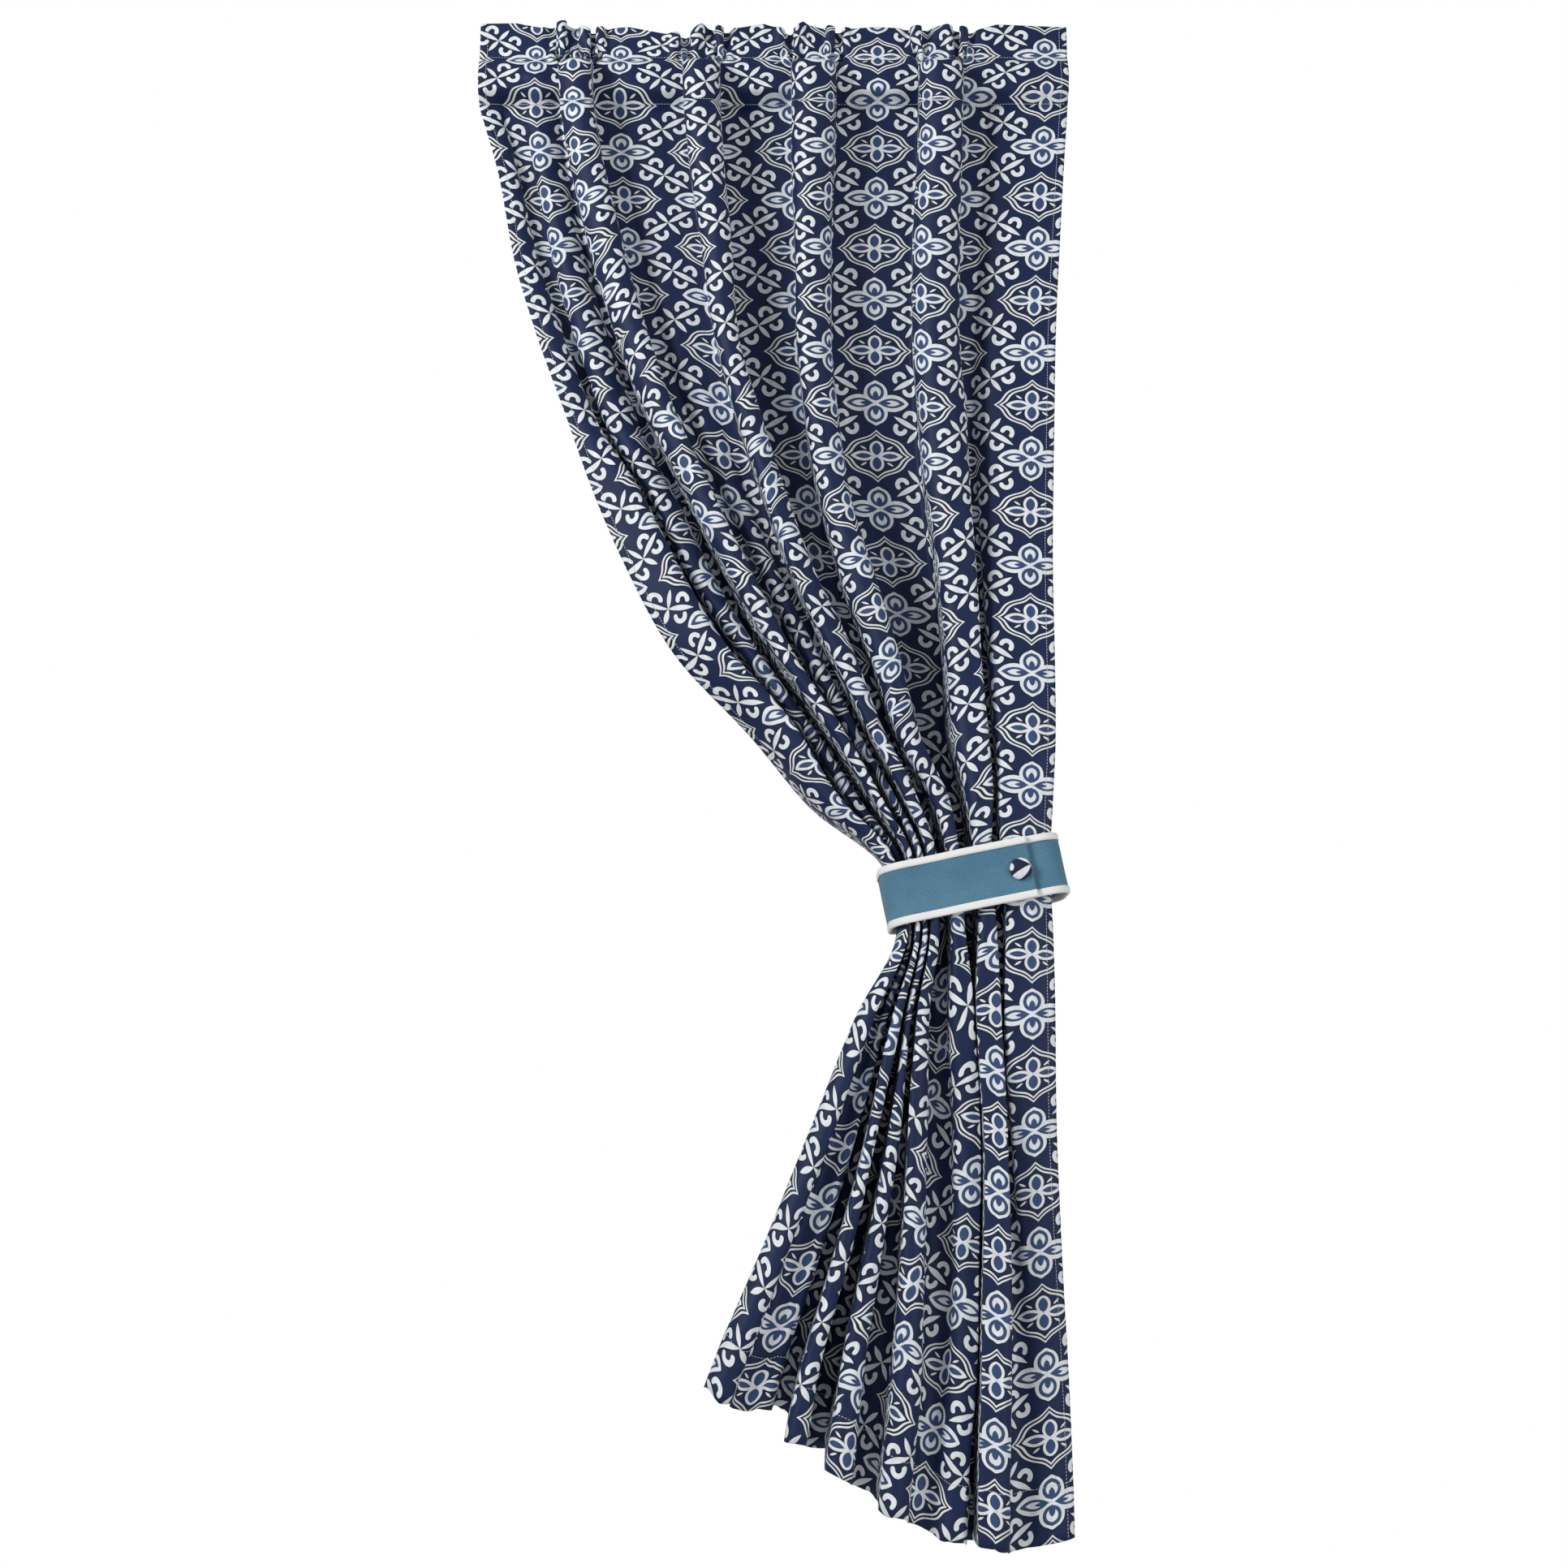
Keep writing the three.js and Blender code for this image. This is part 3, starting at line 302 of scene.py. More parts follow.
def sections(h):
    """Place on the flat cloth from its left edge, X and Y of every column at every height h."""
    left, lines, right = np.split(read(LEVELS, h), [1, 7], axis=1)
    openness = np.minimum(SLANT_FULL * (right - left) / FLAT_WIDTH, 1)
    slopes = (read(LEVELS, h + SLOPE_REACH) - read(LEVELS, h - SLOPE_REACH)) / (2 * SLOPE_REACH) * openness
    slant = mix(slopes[:, :1], slopes[:, 7:], (np.arange(SLANT_STEPS) + 0.5) / SLANT_STEPS)
    steps = FLAT_WIDTH / SLANT_STEPS * np.hypot(1, slant)
    run = np.concatenate([0 * left, np.cumsum(steps, axis=1)], axis=1)
    flat_run = np.tile(np.linspace(0, FLAT_WIDTH, SLANT_STEPS + 1), (len(h), 1))
    at = interp_rows(FLAT_WIDTH - COLUMN * (EDGE_TO_COLUMN + read(PRINT_COLUMNS, h)), flat_run, run)
    depth, flat = read(DEPTHS, h), read(FLATS, h)
    roundness, bias, turn, radius, bow = read(EDGES, h).T[..., None]
    turn, bow = np.radians(turn), np.radians(np.maximum(bow, 1e-3))

    def tail(s):
        """The rolled left edge: an arc and then a straight part, as run and drop from its root."""
        a = np.minimum(s / radius, turn)
        rest = np.maximum(s - radius * turn, 0)
        return radius * np.sin(a) + rest * np.cos(turn), radius * (1 - np.cos(a)) + rest * np.sin(turn)

    width = run[:, -1:] - at[:, 7:]
    reach = tail(at[:, :1] * np.linspace(0, 1, 61))[0].max(axis=1, keepdims=True)
    x = np.concatenate([left + reach, lines, right - width * np.sin(bow) / bow], axis=1)
    half = np.diff(x, axis=1) / 2

    def too_shallow(valley):
        """Where the side left of a valley drops too little for the heights of its two crests."""
        drops = [length * along_side(1, *fold_side(half / length, flat, roundness), flat, 0)[1]
                 for length in (valley - at[:, :-1], at[:, 1:] - valley)]
        return drops[0] - drops[1] < np.diff(depth, axis=1)

    valley = halve(at[:, :-1] + half, at[:, 1:] - half, too_shallow)
    sides = []
    for sign, crest, length in ((1, slice(0, 7), valley - at[:, :-1]),
                                (-1, slice(1, 8), at[:, 1:] - valley)):
        form = [v[..., None] for v in (*fold_side(half / length, flat, roundness), flat, bias)]
        t = side_columns(SIDE_COLUMNS, *form[1:])
        if sign < 0:
            t = np.concatenate([t[..., 1:], np.ones_like(t[..., :1])], axis=-1)[..., ::-1]
        sx, sy = along_side(t, *form)
        whole = along_side(1.0, *form)[0]
        near = [v[:, crest, None] for v in (at, x, depth)]
        sides.append([near[0] + sign * t * length[..., None],
                      near[1] + sign * sx / whole * half[..., None],
                      near[2] + sy * length[..., None]])
    folds = [np.concatenate(pair, axis=-1).reshape(len(h), -1) for pair in zip(*sides)]

    arc = np.minimum(radius * turn / at[:, :1], 0.9)
    t = 1 - piecewise(np.arange(TAIL_COLUMNS) / TAIL_COLUMNS, [0, 0.35, 1], [0, 1 - arc, 1])
    tx, ty = tail(t * at[:, :1])
    rolled = [at[:, :1] * (1 - t), x[:, :1] - tx, depth[:, :1] + ty]
    t = np.arange(EDGE_COLUMNS + 1) / EDGE_COLUMNS
    bowed = [at[:, 7:] + t * width, x[:, 7:] + width * np.sin(bow * t) / bow,
             depth[:, 7:] + width * (1 - np.cos(bow * t)) / bow]
    places, px, py = (np.concatenate(parts, axis=1) for parts in zip(rolled, folds, bowed))
    return interp_rows(places, run, flat_run), px, py


heights = POCKET_BOTTOM - LEVEL_STEP * np.arange(LEVEL_COUNT)
place_at, x_at, y_at = sections(heights)
print(f"{place_at.shape[1]} columns at {len(heights)} levels")

# %% [markdown]
# Each upright thread keeps its length. Its length down to a level is added up from the sections, and
# the hem is where that length reaches the finished length. A thread that is drawn far to the side
# has used up more of itself, so the hem comes out slanted and stepped without being drawn.

# %% The panel's grid
THREADS = 240
PANEL_ROWS = 172


def print_column(places):
    """Column of the print at places on the flat cloth, counted from the right edge."""
    return (FLAT_WIDTH - places) / COLUMN - EDGE_TO_COLUMN


thread_places = np.linspace(0, FLAT_WIDTH, THREADS + 1)
each_level = [thread_places] * LEVEL_COUNT
thread_x, thread_y = (interp_rows(each_level, place_at, v) for v in (x_at, y_at))
drawn_up = np.interp(print_column(thread_places), *np.array(DRAWN_UP).T)
drawn_share = smooth((heights - DRAWN_FROM) / (DRAWN_TO - DRAWN_FROM))
steps = np.sqrt(np.diff(thread_x, axis=0) ** 2 + np.diff(thread_y, axis=0) ** 2 + LEVEL_STEP ** 2)
steps = steps + np.diff(drawn_share)[:, None] * drawn_up
start = LENGTH_AT_POCKET + POCKET_SAG * thread_y[:1]
lengths = np.concatenate([start, start + np.cumsum(steps, axis=0)])
length_at = interp_rows(place_at, each_level, lengths)

panel_lengths = np.linspace(LENGTH_AT_POCKET, FINISHED_LENGTH, PANEL_ROWS)
tracks = [np.tile(heights[:, None], (1, x_at.shape[1])), x_at, y_at, place_at]
each_column = [panel_lengths] * x_at.shape[1]
panel_z, panel_x, panel_y, panel_places = (interp_rows(each_column, length_at.T, v.T).T for v in tracks)
panel_z[0] = POCKET_BOTTOM + POCKET_SAG * panel_y[0]
panel_points = np.stack([panel_x, panel_y, panel_z], axis=-1)
print(f"panel {panel_points.shape[:2]}, hem from {panel_z[-1].min():.0f} to {panel_z[-1].max():.0f} mm")

# %% [markdown]
# Folds alone look like bent sheet metal. Cotton also has soft creases: it was packed flat, it is pulled
# by the band, and its hems are two layers thicker. They are troughs and ridges, each placed on the flat
# cloth, and they move the cloth along its normals.

# %% Normals and creases
# Print column, length below the top edge, run down the cloth, lean to the right over that run, half
# width, height (minus for a trough)
CREASES = [
    [9.3, 300, 260, 30, 16, -2.5], [7.6, 420, 300, -20, 18, 2.2], [5.3, 520, 420, 25, 22, -2.2],
    [3.2, 380, 360, -15, 24, 2.0], [2.7, 760, 340, 30, 20, -2.4], [0.9, 620, 460, -12, 20, 2.0],
    [9.6, 700, 240, 34, 14, -2.6], [8.4, 880, 280, 30, 14, 2.4], [6.6, 960, 260, 30, 14, -2.6],
    [4.8, 1060, 240, 26, 14, 2.4], [3.3, 1120, 220, 34, 13, -3.0], [1.9, 1130, 230, 40, 14, 3.0],
    [0.8, 1140, 210, 46, 14, -2.8], [0.5, 1330, 200, -34, 14, -2.6], [1.6, 1360, 240, -30, 13, 2.6],
    [3.0, 1400, 260, -20, 14, -2.6], [4.6, 1420, 300, 16, 15, 2.6], [6.4, 1480, 320, 22, 16, -2.6],
    [8.0, 1500, 360, -16, 16, 2.4], [9.2, 1620, 340, 18, 18, -2.4], [0.6, 1700, 380, 14, 20, 2.2],
    [2.2, 1820, 300, -14, 15, -2.4], [4.2, 1800, 320, 12, 17, 2.4], [6.2, 1860, 280, 14, 17, -2.2],
]
# Height of a slow wave, then the lengths across and down of its first sine, down and across of its second
SLOW_WAVES = [[0.9, 61, 173, 97, 140], [0.7, 33, 46, -210, -85]]
# Height and reach of a hem's step, groove and puckers, and the length of a pucker
HEM_STEP, STEP_RUN = 0.5, 6
HEM_GROOVE, GROOVE_REACH = 0.7, 4
HEM_PUCKER, PUCKER_REACH, PUCKER_RUN = 0.55, 14, 4.1
BAND_LEVEL = -1190
HELD_REACH = 75
HELD_FLAT = 0.85
TOP_FADE = 40


def normals_of(points):
    """Unit normals of a grid, to the viewer's side: the cross product of the ways down and across."""
    n = np.cross(np.gradient(points, axis=0), np.gradient(points, axis=1))
    return n / np.maximum(np.linalg.norm(n, axis=-1, keepdims=True), 1e-9)


def crease_heights(places, lengths):
    """Sum of the slow waves, each a product of two sines, and the creases, each a bell curve across and a
    half wave along."""
    total = 0
    for height, a, b, c, d in SLOW_WAVES:
        total = total + height * np.sin(places / a + lengths / b) * np.sin(lengths / c - places / d)
    for at_column, top, run, lean, half_width, height in CREASES:
        t = (lengths - top) / run
        across = (at_column - print_column(places)) * COLUMN - lean * (t - 0.5)
        fade = np.sin(np.pi * np.clip(t, 0, 1)) ** 1.5
        total = total + height * fade * np.exp(-((across / half_width) ** 2))
    return total


def hem_heights(places, lengths):
    """A step where a hem is turned under, a groove along its stitching and puckers beside that."""
    total = 0
    from_side = np.minimum(places, FLAT_WIDTH - places)
    for away, along, hem in ((from_side, lengths, SIDE_HEM),
                             (FINISHED_LENGTH - lengths, places, BOTTOM_HEM)):
        total = total + HEM_STEP * smooth((hem - away) / STEP_RUN + 0.5)
        total = total - HEM_GROOVE * np.exp(-((away - hem) / GROOVE_REACH) ** 2)
        puckers = np.sin(along / PUCKER_RUN + 1.7 * np.sin(along / 37))
        total = total + HEM_PUCKER * puckers * np.exp(-((away - hem) / PUCKER_REACH) ** 2)
    return total


lengths_grid = np.broadcast_to(panel_lengths[:, None], panel_places.shape)
raised = crease_heights(panel_places, lengths_grid) + hem_heights(panel_places, lengths_grid)
raised = raised * smooth((lengths_grid - LENGTH_AT_POCKET) / TOP_FADE)
raised = raised * (1 - HELD_FLAT * np.exp(-((panel_z - BAND_LEVEL) / HELD_REACH) ** 2))
panel_points = panel_points + normals_of(panel_points) * raised[..., None]
print(f"{len(CREASES)} creases, from {raised.min():.1f} to {raised.max():.1f} mm")

# %% [markdown]
# A grid becomes a mesh of quads. Each corner also keeps its place on the flat cloth, in metres, as a UV
# map: the print and the weave are drawn there, so they bend with the folds as on real cloth. A
# Solidify modifier gives the sheet its thickness and its reverse.

# %% Mesh helpers
CLOTH = 1.1


def grid_faces(rows, columns, closed):
    """Quads of a grid, facing the viewer where its rows run down and its columns right. A closed grid joins
    its last column to its first and has a cap at both ends."""
    index = np.arange(rows * columns).reshape(rows, columns)
    right = np.roll(index, -1, axis=1)
    caps = [index[0].tolist(), index[-1, ::-1].tolist()] if closed else []
    if not closed:
        index, right = index[:, :-1], right[:, :-1]
    return np.stack([index[:-1], index[1:], right[1:], right[:-1]], axis=-1).reshape(-1, 4).tolist() + caps


def placed(name, data):
    """A new object of the scene, at the origin."""
    thing = bpy.data.objects.new(name, data)
    bpy.context.scene.collection.objects.link(thing)
    return thing


def make_piece(name, points, uv, node=None, thickness=0, faces=None):
    """A smooth piece from a grid of points in millimetres, with a UV for each: a closed shape, or a sheet
    whose Solidify gives its inner face the second material. It may stand for a node of the frame, which
    it then hides."""
    mesh = bpy.data.meshes.new(name)
    faces = faces or grid_faces(*points.shape[:2], closed=not thickness)
    mesh.from_pydata((np.reshape(points, (-1, 3)) * MM).tolist(), [], faces)
    corners = np.empty(len(mesh.loops), dtype=np.int32)
    mesh.loops.foreach_get("vertex_index", corners)
    layer = mesh.uv_layers.new(name="flat_cloth")
    layer.data.foreach_set("uv", np.reshape(uv, (-1, 2))[corners].astype(np.float32).ravel())
    mesh.polygons.foreach_set("use_smooth", np.ones(len(mesh.polygons), dtype=bool))
    mesh.validate()
    piece = placed(name, mesh)
    if thickness:
        solid = piece.modifiers.new("thickness", "SOLIDIFY")
        solid.thickness = thickness * MM
        solid.offset = 0
        solid.material_offset = 1
    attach(piece, "root")
    if node:
        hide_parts(node)
    print(f"{name}: {len(mesh.vertices)} points, {len(mesh.polygons)} faces")
    return piece


print(f"cloth {CLOTH} mm thick")

# %% [markdown]
# Real cloth gives a little: it stretches along the threads that carry it and is eased in where it is sewn,
# so the rows of the print don't lie at even lengths. A table says how far the print is moved up or
# down the cloth, and any place between its rows and columns is read evenly.

# %% The panel and where its print lies
PRINT_MOVED_AT = [0, 3.5, 7, 9, 10.5]
# Length below the top edge, then the move in millimetres at each print column of PRINT_MOVED_AT
PRINT_MOVED = np.array([
    [0, -5, -8, -20, -21, -21], [53, 2, -1, -8, -9, -9], [126, 17, 11, 4, 5, 7],
    [200, 19, 18, 10, 10, 12], [430, 15, 23, 22, 26, 22], [800, 8, 28, 27, 58, 15],
    [950, 6, 36, 30, 50, 10], [1040, 5, 38, 30, 42, 12], [1160, 4, 30, 25, 20, 0],
    [1310, 6, 24, 20, 10, 2], [1460, 14, 24, 24, 16, 12], [1610, 22, 25, 25, 18, 18],
    [1700, 22, 18, 22, 20, 20], [1810, 22, 18, 22, 17, 17], [1900, 24, 14, 13, 10, 10],
    [2134, 22, 8, 3, 2, 2],
])


def flat_uv(places, lengths):
    """UV of the flat cloth, in metres: minus the distance from the right edge, and minus the length with
    the print's move added."""
    moves = [np.interp(lengths, PRINT_MOVED[:, 0], move) for move in PRINT_MOVED[:, 1:].T]
    moved = piecewise(print_column(places), PRINT_MOVED_AT, moves)
    return np.stack([(places - FLAT_WIDTH) * MM, -(lengths + moved) * MM], axis=-1)


panel_uv = flat_uv(panel_places, lengths_grid)
panel = make_piece("printed_panel", panel_points, panel_uv, "panel", CLOTH)

# %% [markdown]
# The heading is the top of the same cloth, turned over to the back and sewn down twice: along the
# pocket's lower edge and 53 mm below the top, where the header begins. The rod's room is between the
# layers. At the upper seam the cloth is gathered, so the tubes of the panel are squeezed into small
# ripples, and above it they open again into a few larger ones.

# %% The heading's grid
HEADING_COLUMNS = 330
POCKET_ROWS = 26
HEADER_ROWS = 20
ROD_ROOM = 17
ROD_FLAT = 17
DRAWN_ABOVE = 17
GATHER_REACH = 40
GATHERED_Y = -7
STITCH_PITCH = 36
RUFFLE_PITCH = 66
LAYER_GAP = 1.6
CROWN = 0.9
FRONT_SLACK = 0.64
BACK_SLACK = -0.3
SEWN_ABOVE = 9
SEWN_BELOW = 7
TUBE_DEPTH = 55
# Distance along X, height of the header's top edge
TOP_EDGE = np.array([
    [-440, 90], [-380, 91], [-345, 84], [-305, 91], [-272, 79], [-215, 85], [-160, 74],
    [-128, 72], [-105, 88], [-70, 80], [-15, 90], [25, 77], [45, 90], [95, 80], [150, 85],
    [205, 82], [255, 87], [292, 78], [330, 89], [440, 84],
])

heading_places = np.linspace(0, FLAT_WIDTH, HEADING_COLUMNS)
pocket_x, pocket_y = (np.interp(heading_places, place_at[0], v[0]) for v in (x_at, y_at))
seam_x, seam_y = (np.interp(heading_places, panel_places[0], v[0]) for v in (panel_x, panel_y))
window = np.minimum(GATHER_REACH, np.minimum(heading_places, FLAT_WIDTH - heading_places))
around = heading_places[:, None] + window[:, None] * np.linspace(-1, 1, 21)
gathered_x = np.interp(around, place_at[0], x_at[0]).mean(axis=1)
gather = np.clip(np.gradient(gathered_x, heading_places), 0.05, 1)
fullness = np.sqrt(1 - gather ** 2) * smooth((0.85 - gather) / 0.3)


def ripple(pitch, phase):
    """Ripples of gathered cloth, as X and Y offsets: a wave forward and back, and one of half its pitch
    sideways that rounds its crests."""
    angle = 2 * np.pi * heading_places / pitch + phase + 0.9 * np.sin(heading_places / 47)
    sideways = fullness * (1 - gather) * pitch / (4 * np.pi) * np.sin(2 * angle)
    return sideways, fullness * pitch / (2 * np.pi) * np.cos(angle)


fine, large = ripple(STITCH_PITCH, 0.4), ripple(RUFFLE_PITCH, 1.1)
pocket_z = np.linspace(POCKET_BOTTOM, POCKET_TOP, POCKET_ROWS)[:, None]


def pocket_layer(side, slack):
    """X and Y of one layer of the pocket: it leaves the lower seam, passes the rod on its own side and
    comes to the gathered seam."""
    z = pocket_z
    seam = np.where(z <= 0, pocket_y, fine[1] + GATHERED_Y)
    span = np.where(z <= 0, -POCKET_BOTTOM, POCKET_TOP)
    loose = mix(side * ROD_ROOM + (pocket_y - 8) * slack, seam, smooth(np.abs(z) / span))
    held = mix(side * ROD_ROOM, seam, smooth((np.abs(z) - ROD_FLAT) / (span - ROD_FLAT)))
    drawn = smooth((z - DRAWN_ABOVE) / (POCKET_TOP - DRAWN_ABOVE))
    return mix(pocket_x, gathered_x + fine[0], drawn), side * np.maximum(side * loose, side * held)


front_x, front_y = pocket_layer(-1, FRONT_SLACK)
sag = smooth((POCKET_BOTTOM * 0.3 - pocket_z) / (-POCKET_BOTTOM * 0.7))
front_z = pocket_z + POCKET_SAG * seam_y * sag
pocket_front = [front_x + (seam_x - pocket_x) * sag, front_y + (seam_y - pocket_y) * sag, front_z]

rise = np.linspace(0, 1, HEADER_ROWS + 1)[1:, None]
open_share = smooth(rise / 0.8)
header_x = gathered_x + mix(fine[0], large[0], open_share)
header_y = GATHERED_Y + mix(fine[1], large[1], open_share)
header_z = mix(POCKET_TOP, np.interp(header_x, *TOP_EDGE.T), rise)
front = np.concatenate([np.stack(part, axis=-1) for part in (pocket_front, [header_x, header_y, header_z])])
front_normals = normals_of(front[::-1])[::-1]
behind = front - front_normals * LAYER_GAP

back = np.stack([*pocket_layer(1, BACK_SLACK), front_z], axis=-1)
close = smooth((pocket_z - POCKET_TOP) / SEWN_ABOVE + 1)
close = close + smooth((POCKET_BOTTOM - pocket_z) / SEWN_BELOW + 1)
back = mix(back, behind[:POCKET_ROWS], np.clip(close, 0, 1)[:, :, None])
crown = (front[-1:] + behind[-1:]) / 2 + [0, 0, CROWN]
heading_points = np.concatenate([back, behind[POCKET_ROWS:], crown, front[::-1]])

tube = smooth(-pocket_y / TUBE_DEPTH)
up_share = np.linspace(1, 0, POCKET_ROWS)[:, None] ** (1 + 1.8 * tube)
header_lengths = np.tile(HEADER_HEIGHT * (1 - rise), (1, HEADING_COLUMNS))
front_lengths = np.concatenate([mix(HEADER_HEIGHT, LENGTH_AT_POCKET, up_share), header_lengths])
heading_lengths = np.concatenate([-front_lengths, 0 * tube[None], front_lengths[::-1]])
print(f"heading {heading_points.shape[:2]}, gathered to {gather.min():.2f} of its width at the tightest")

# %% [markdown]
# The grid becomes one closed cloth: up the back, over the top edge and down the front, so the print runs
# on over the fold. The front is what the panel hangs from, and the two share their lower seam.

# %% The heading
HEADING_CLOTH = 1.0
heading_uv = flat_uv(np.broadcast_to(heading_places, heading_lengths.shape), heading_lengths)
heading = make_piece("rod_pocket_heading", heading_points, heading_uv, "heading",
                     HEADING_CLOTH)

# %% [markdown]
# The tie band is a strip of plain cotton, two layers with a stiffener between them, that goes once round
# the drawn-in cloth and laps over itself at the front. Its route is a rectangle with round corners.
# A profile is carried along that route: a soft rectangle for the band, a folded tape for each binding.

# %% The band's route
BAND_HEIGHT = 84
BAND_THICK = 3
BAND_TILT = math.radians(11.4)
BAND_CENTRE = np.array([272.8, 2.9, BAND_LEVEL])
BAND_HALF_LENGTH = 122.3
BAND_HALF_DEPTH = 55.4
BAND_CORNER = 31
BAND_LAP = 46
BAND_LIFT = 6.8
BAND_STATIONS = 260
LIFT_RUN = 95
LAP_CLEAR = 33
FREE_END = 76.2
LOOP_FRONT = BAND_HALF_LENGTH - BAND_CORNER
LOOP_SIDE = BAND_HALF_DEPTH - BAND_CORNER
LOOP_QUARTER = math.pi / 2 * BAND_CORNER
LOOP = 4 * (LOOP_FRONT + LOOP_SIDE + LOOP_QUARTER)


def loop_at(distance):
    """The route from the middle of the front to the right, as the place (u, y) and the way out of the loop:
    straight runs and quarter turns are added up as far as the distance reaches."""
    s = np.mod(distance, LOOP)
    u, y, turn = 0 * s, 0 * s - BAND_HALF_DEPTH, 0 * s
    start, way = 0.0, 0.0
    for straight in (LOOP_FRONT, 2 * LOOP_SIDE, 2 * LOOP_FRONT, 2 * LOOP_SIDE, LOOP_FRONT):
        step = np.clip(s - start, 0, straight)
        start += straight
        bend = np.clip(s - start, 0, LOOP_QUARTER) / BAND_CORNER
        start += LOOP_QUARTER
        u = u + step * math.cos(way) + BAND_CORNER * (np.sin(way + bend) - math.sin(way))
        y = y + step * math.sin(way) - BAND_CORNER * (np.cos(way + bend) - math.cos(way))
        turn = turn + bend
        way += math.pi / 2
    return u, y, np.sin(turn), -np.cos(turn)


def band_points(u, y, v):
    """From the band's own directions (along, away from the viewer, up) to the frame."""
    cos, sin = math.cos(BAND_TILT), math.sin(BAND_TILT)
    own = np.broadcast_arrays(u * cos - v * sin, y, u * sin + v * cos)
    return BAND_CENTRE + np.stack(own, axis=-1)


band_start, band_end = FREE_END - BAND_LAP, LOOP + FREE_END
band_run = np.linspace(band_start, band_end, BAND_STATIONS)[:, None]
print(f"band {band_end - band_start:.0f} mm long round a loop of {LOOP:.0f} mm")

# %% [markdown]
# The band and both bindings are made by the same sweep, so they stay together round every corner. A real
# band is not smooth: it is pulled by the button and pressed from behind by the folds, which shows as
# faint dents.

# %% The band and its bindings
BINDING_HEIGHT = 10
BINDING_CLOTH = 0.9
SEAM_GAP = 0.3
BAND_EDGE = 1.2
# Place along the front, lean, half width and height of the band's dents
DENTS = ((-38, 0.15, 7, 0.7), (-14, -0.2, 8, -0.6), (30, 0.5, 9, -0.5))


def swept(name, ring, swell, node):
    """A profile (t outwards, v up) carried along the band's route and closed at both ends. The lap is
    lifted over the band's start, and swell(run, v) moves the outer face out or in."""
    t, v = np.array(ring).T
    u, y, out_u, out_y = loop_at(band_run)
    lift = BAND_LIFT * smooth((band_run - (band_end - BAND_LAP - LIFT_RUN)) / (LIFT_RUN - LAP_CLEAR))
    out = t + lift + swell(band_run, v) * np.sign(np.maximum(t, 0))
    points = band_points(u + out_u * out, y + out_y * out, v)
    around = np.concatenate([[0], np.cumsum(np.hypot(np.diff(t), np.diff(v)))])
    uv = np.stack(np.broadcast_arrays(band_run * MM, around * MM), axis=-1)
    return make_piece(name, points, uv, node)


def soft_rectangle(half_thick, half_height, per_side, per_corner):
    """Profile of the band: quarter circles at the corners of a rectangle, whose long sides are then cut
    into even steps."""
    quarter = np.repeat(np.arange(4), per_corner + 1)
    a = np.pi / 2 * (quarter + np.tile(np.linspace(0, 1, per_corner + 1), 4))
    corners = np.array([[1, 1], [-1, 1], [-1, -1], [1, -1]])[quarter]
    ring = corners * (np.array([half_thick, half_height]) - BAND_EDGE)
    ring = ring + BAND_EDGE * np.stack([np.cos(a), np.sin(a)], axis=-1)
    after = np.roll(ring, -1, axis=0)
    steps = np.where(np.linalg.norm(after - ring, axis=1) > 4 * BAND_EDGE, per_side, 1)
    share = np.concatenate([np.arange(n) / n for n in steps])[:, None]
    return mix(np.repeat(ring, steps, axis=0), np.repeat(after, steps, axis=0), share)


def band_swell(s, v):
    """Pull creases of the band's face: a product of two slow waves, and three slanting dents."""
    front = np.exp(-((np.mod(s + 120, LOOP) - 120) / 130) ** 2)
    total = 0.35 * np.sin(s / 19 + v / 31) * np.sin(s / 43 - v / 22)
    for at, lean, width, height in DENTS:
        along = np.mod(s - at + LOOP / 2, LOOP) - LOOP / 2
        total = total + height * np.exp(-(((along - lean * v) / width) ** 2)) * front
    return total * (1 - (v / 34) ** 4 * 0.5)


def tape_swell(s, v):
    """Fine puckers of a sewn tape: one short wave."""
    return 0.12 * np.sin(s / 7 + v)


def tape_ring(side):
    """Profile of a binding: a tape folded over the band's edge, with a round fold."""
    inner = BAND_THICK / 2 + SEAM_GAP
    outer = inner + BINDING_CLOTH
    fold = BAND_HEIGHT / 2 - outer
    foot = BAND_HEIGHT / 2 - BINDING_HEIGHT
    bend = [math.radians(a) for a in range(0, 181, 20)]
    over, under = ([[r * math.cos(a), fold + r * math.sin(a)] for a in bend] for r in (outer, inner))
    ring = [[outer, foot], [outer, (foot + fold) / 2], *over, [-outer, (foot + fold) / 2], [-outer, foot],
            [-inner, foot], *under[::-1], [inner, foot]]
    return [[t, v * side] for t, v in ring[::side]]


band_ring = soft_rectangle(BAND_THICK / 2, BAND_HEIGHT / 2 - BINDING_CLOTH - SEAM_GAP, 24, 3)
tie_band = swept("tie_band_cloth", band_ring, band_swell, "tie_band")
bindings = [swept(f"{node}_tape", tape_ring(side), tape_swell, node)
            for node, side in (("binding_top", 1), ("binding_bottom", -1))]

# %% [markdown]
# The button is a dome covered with a round of the printed cloth. The cloth is drawn together behind it,
# so its rim is slightly scalloped and its face has a few soft folds that run from the rim inwards.

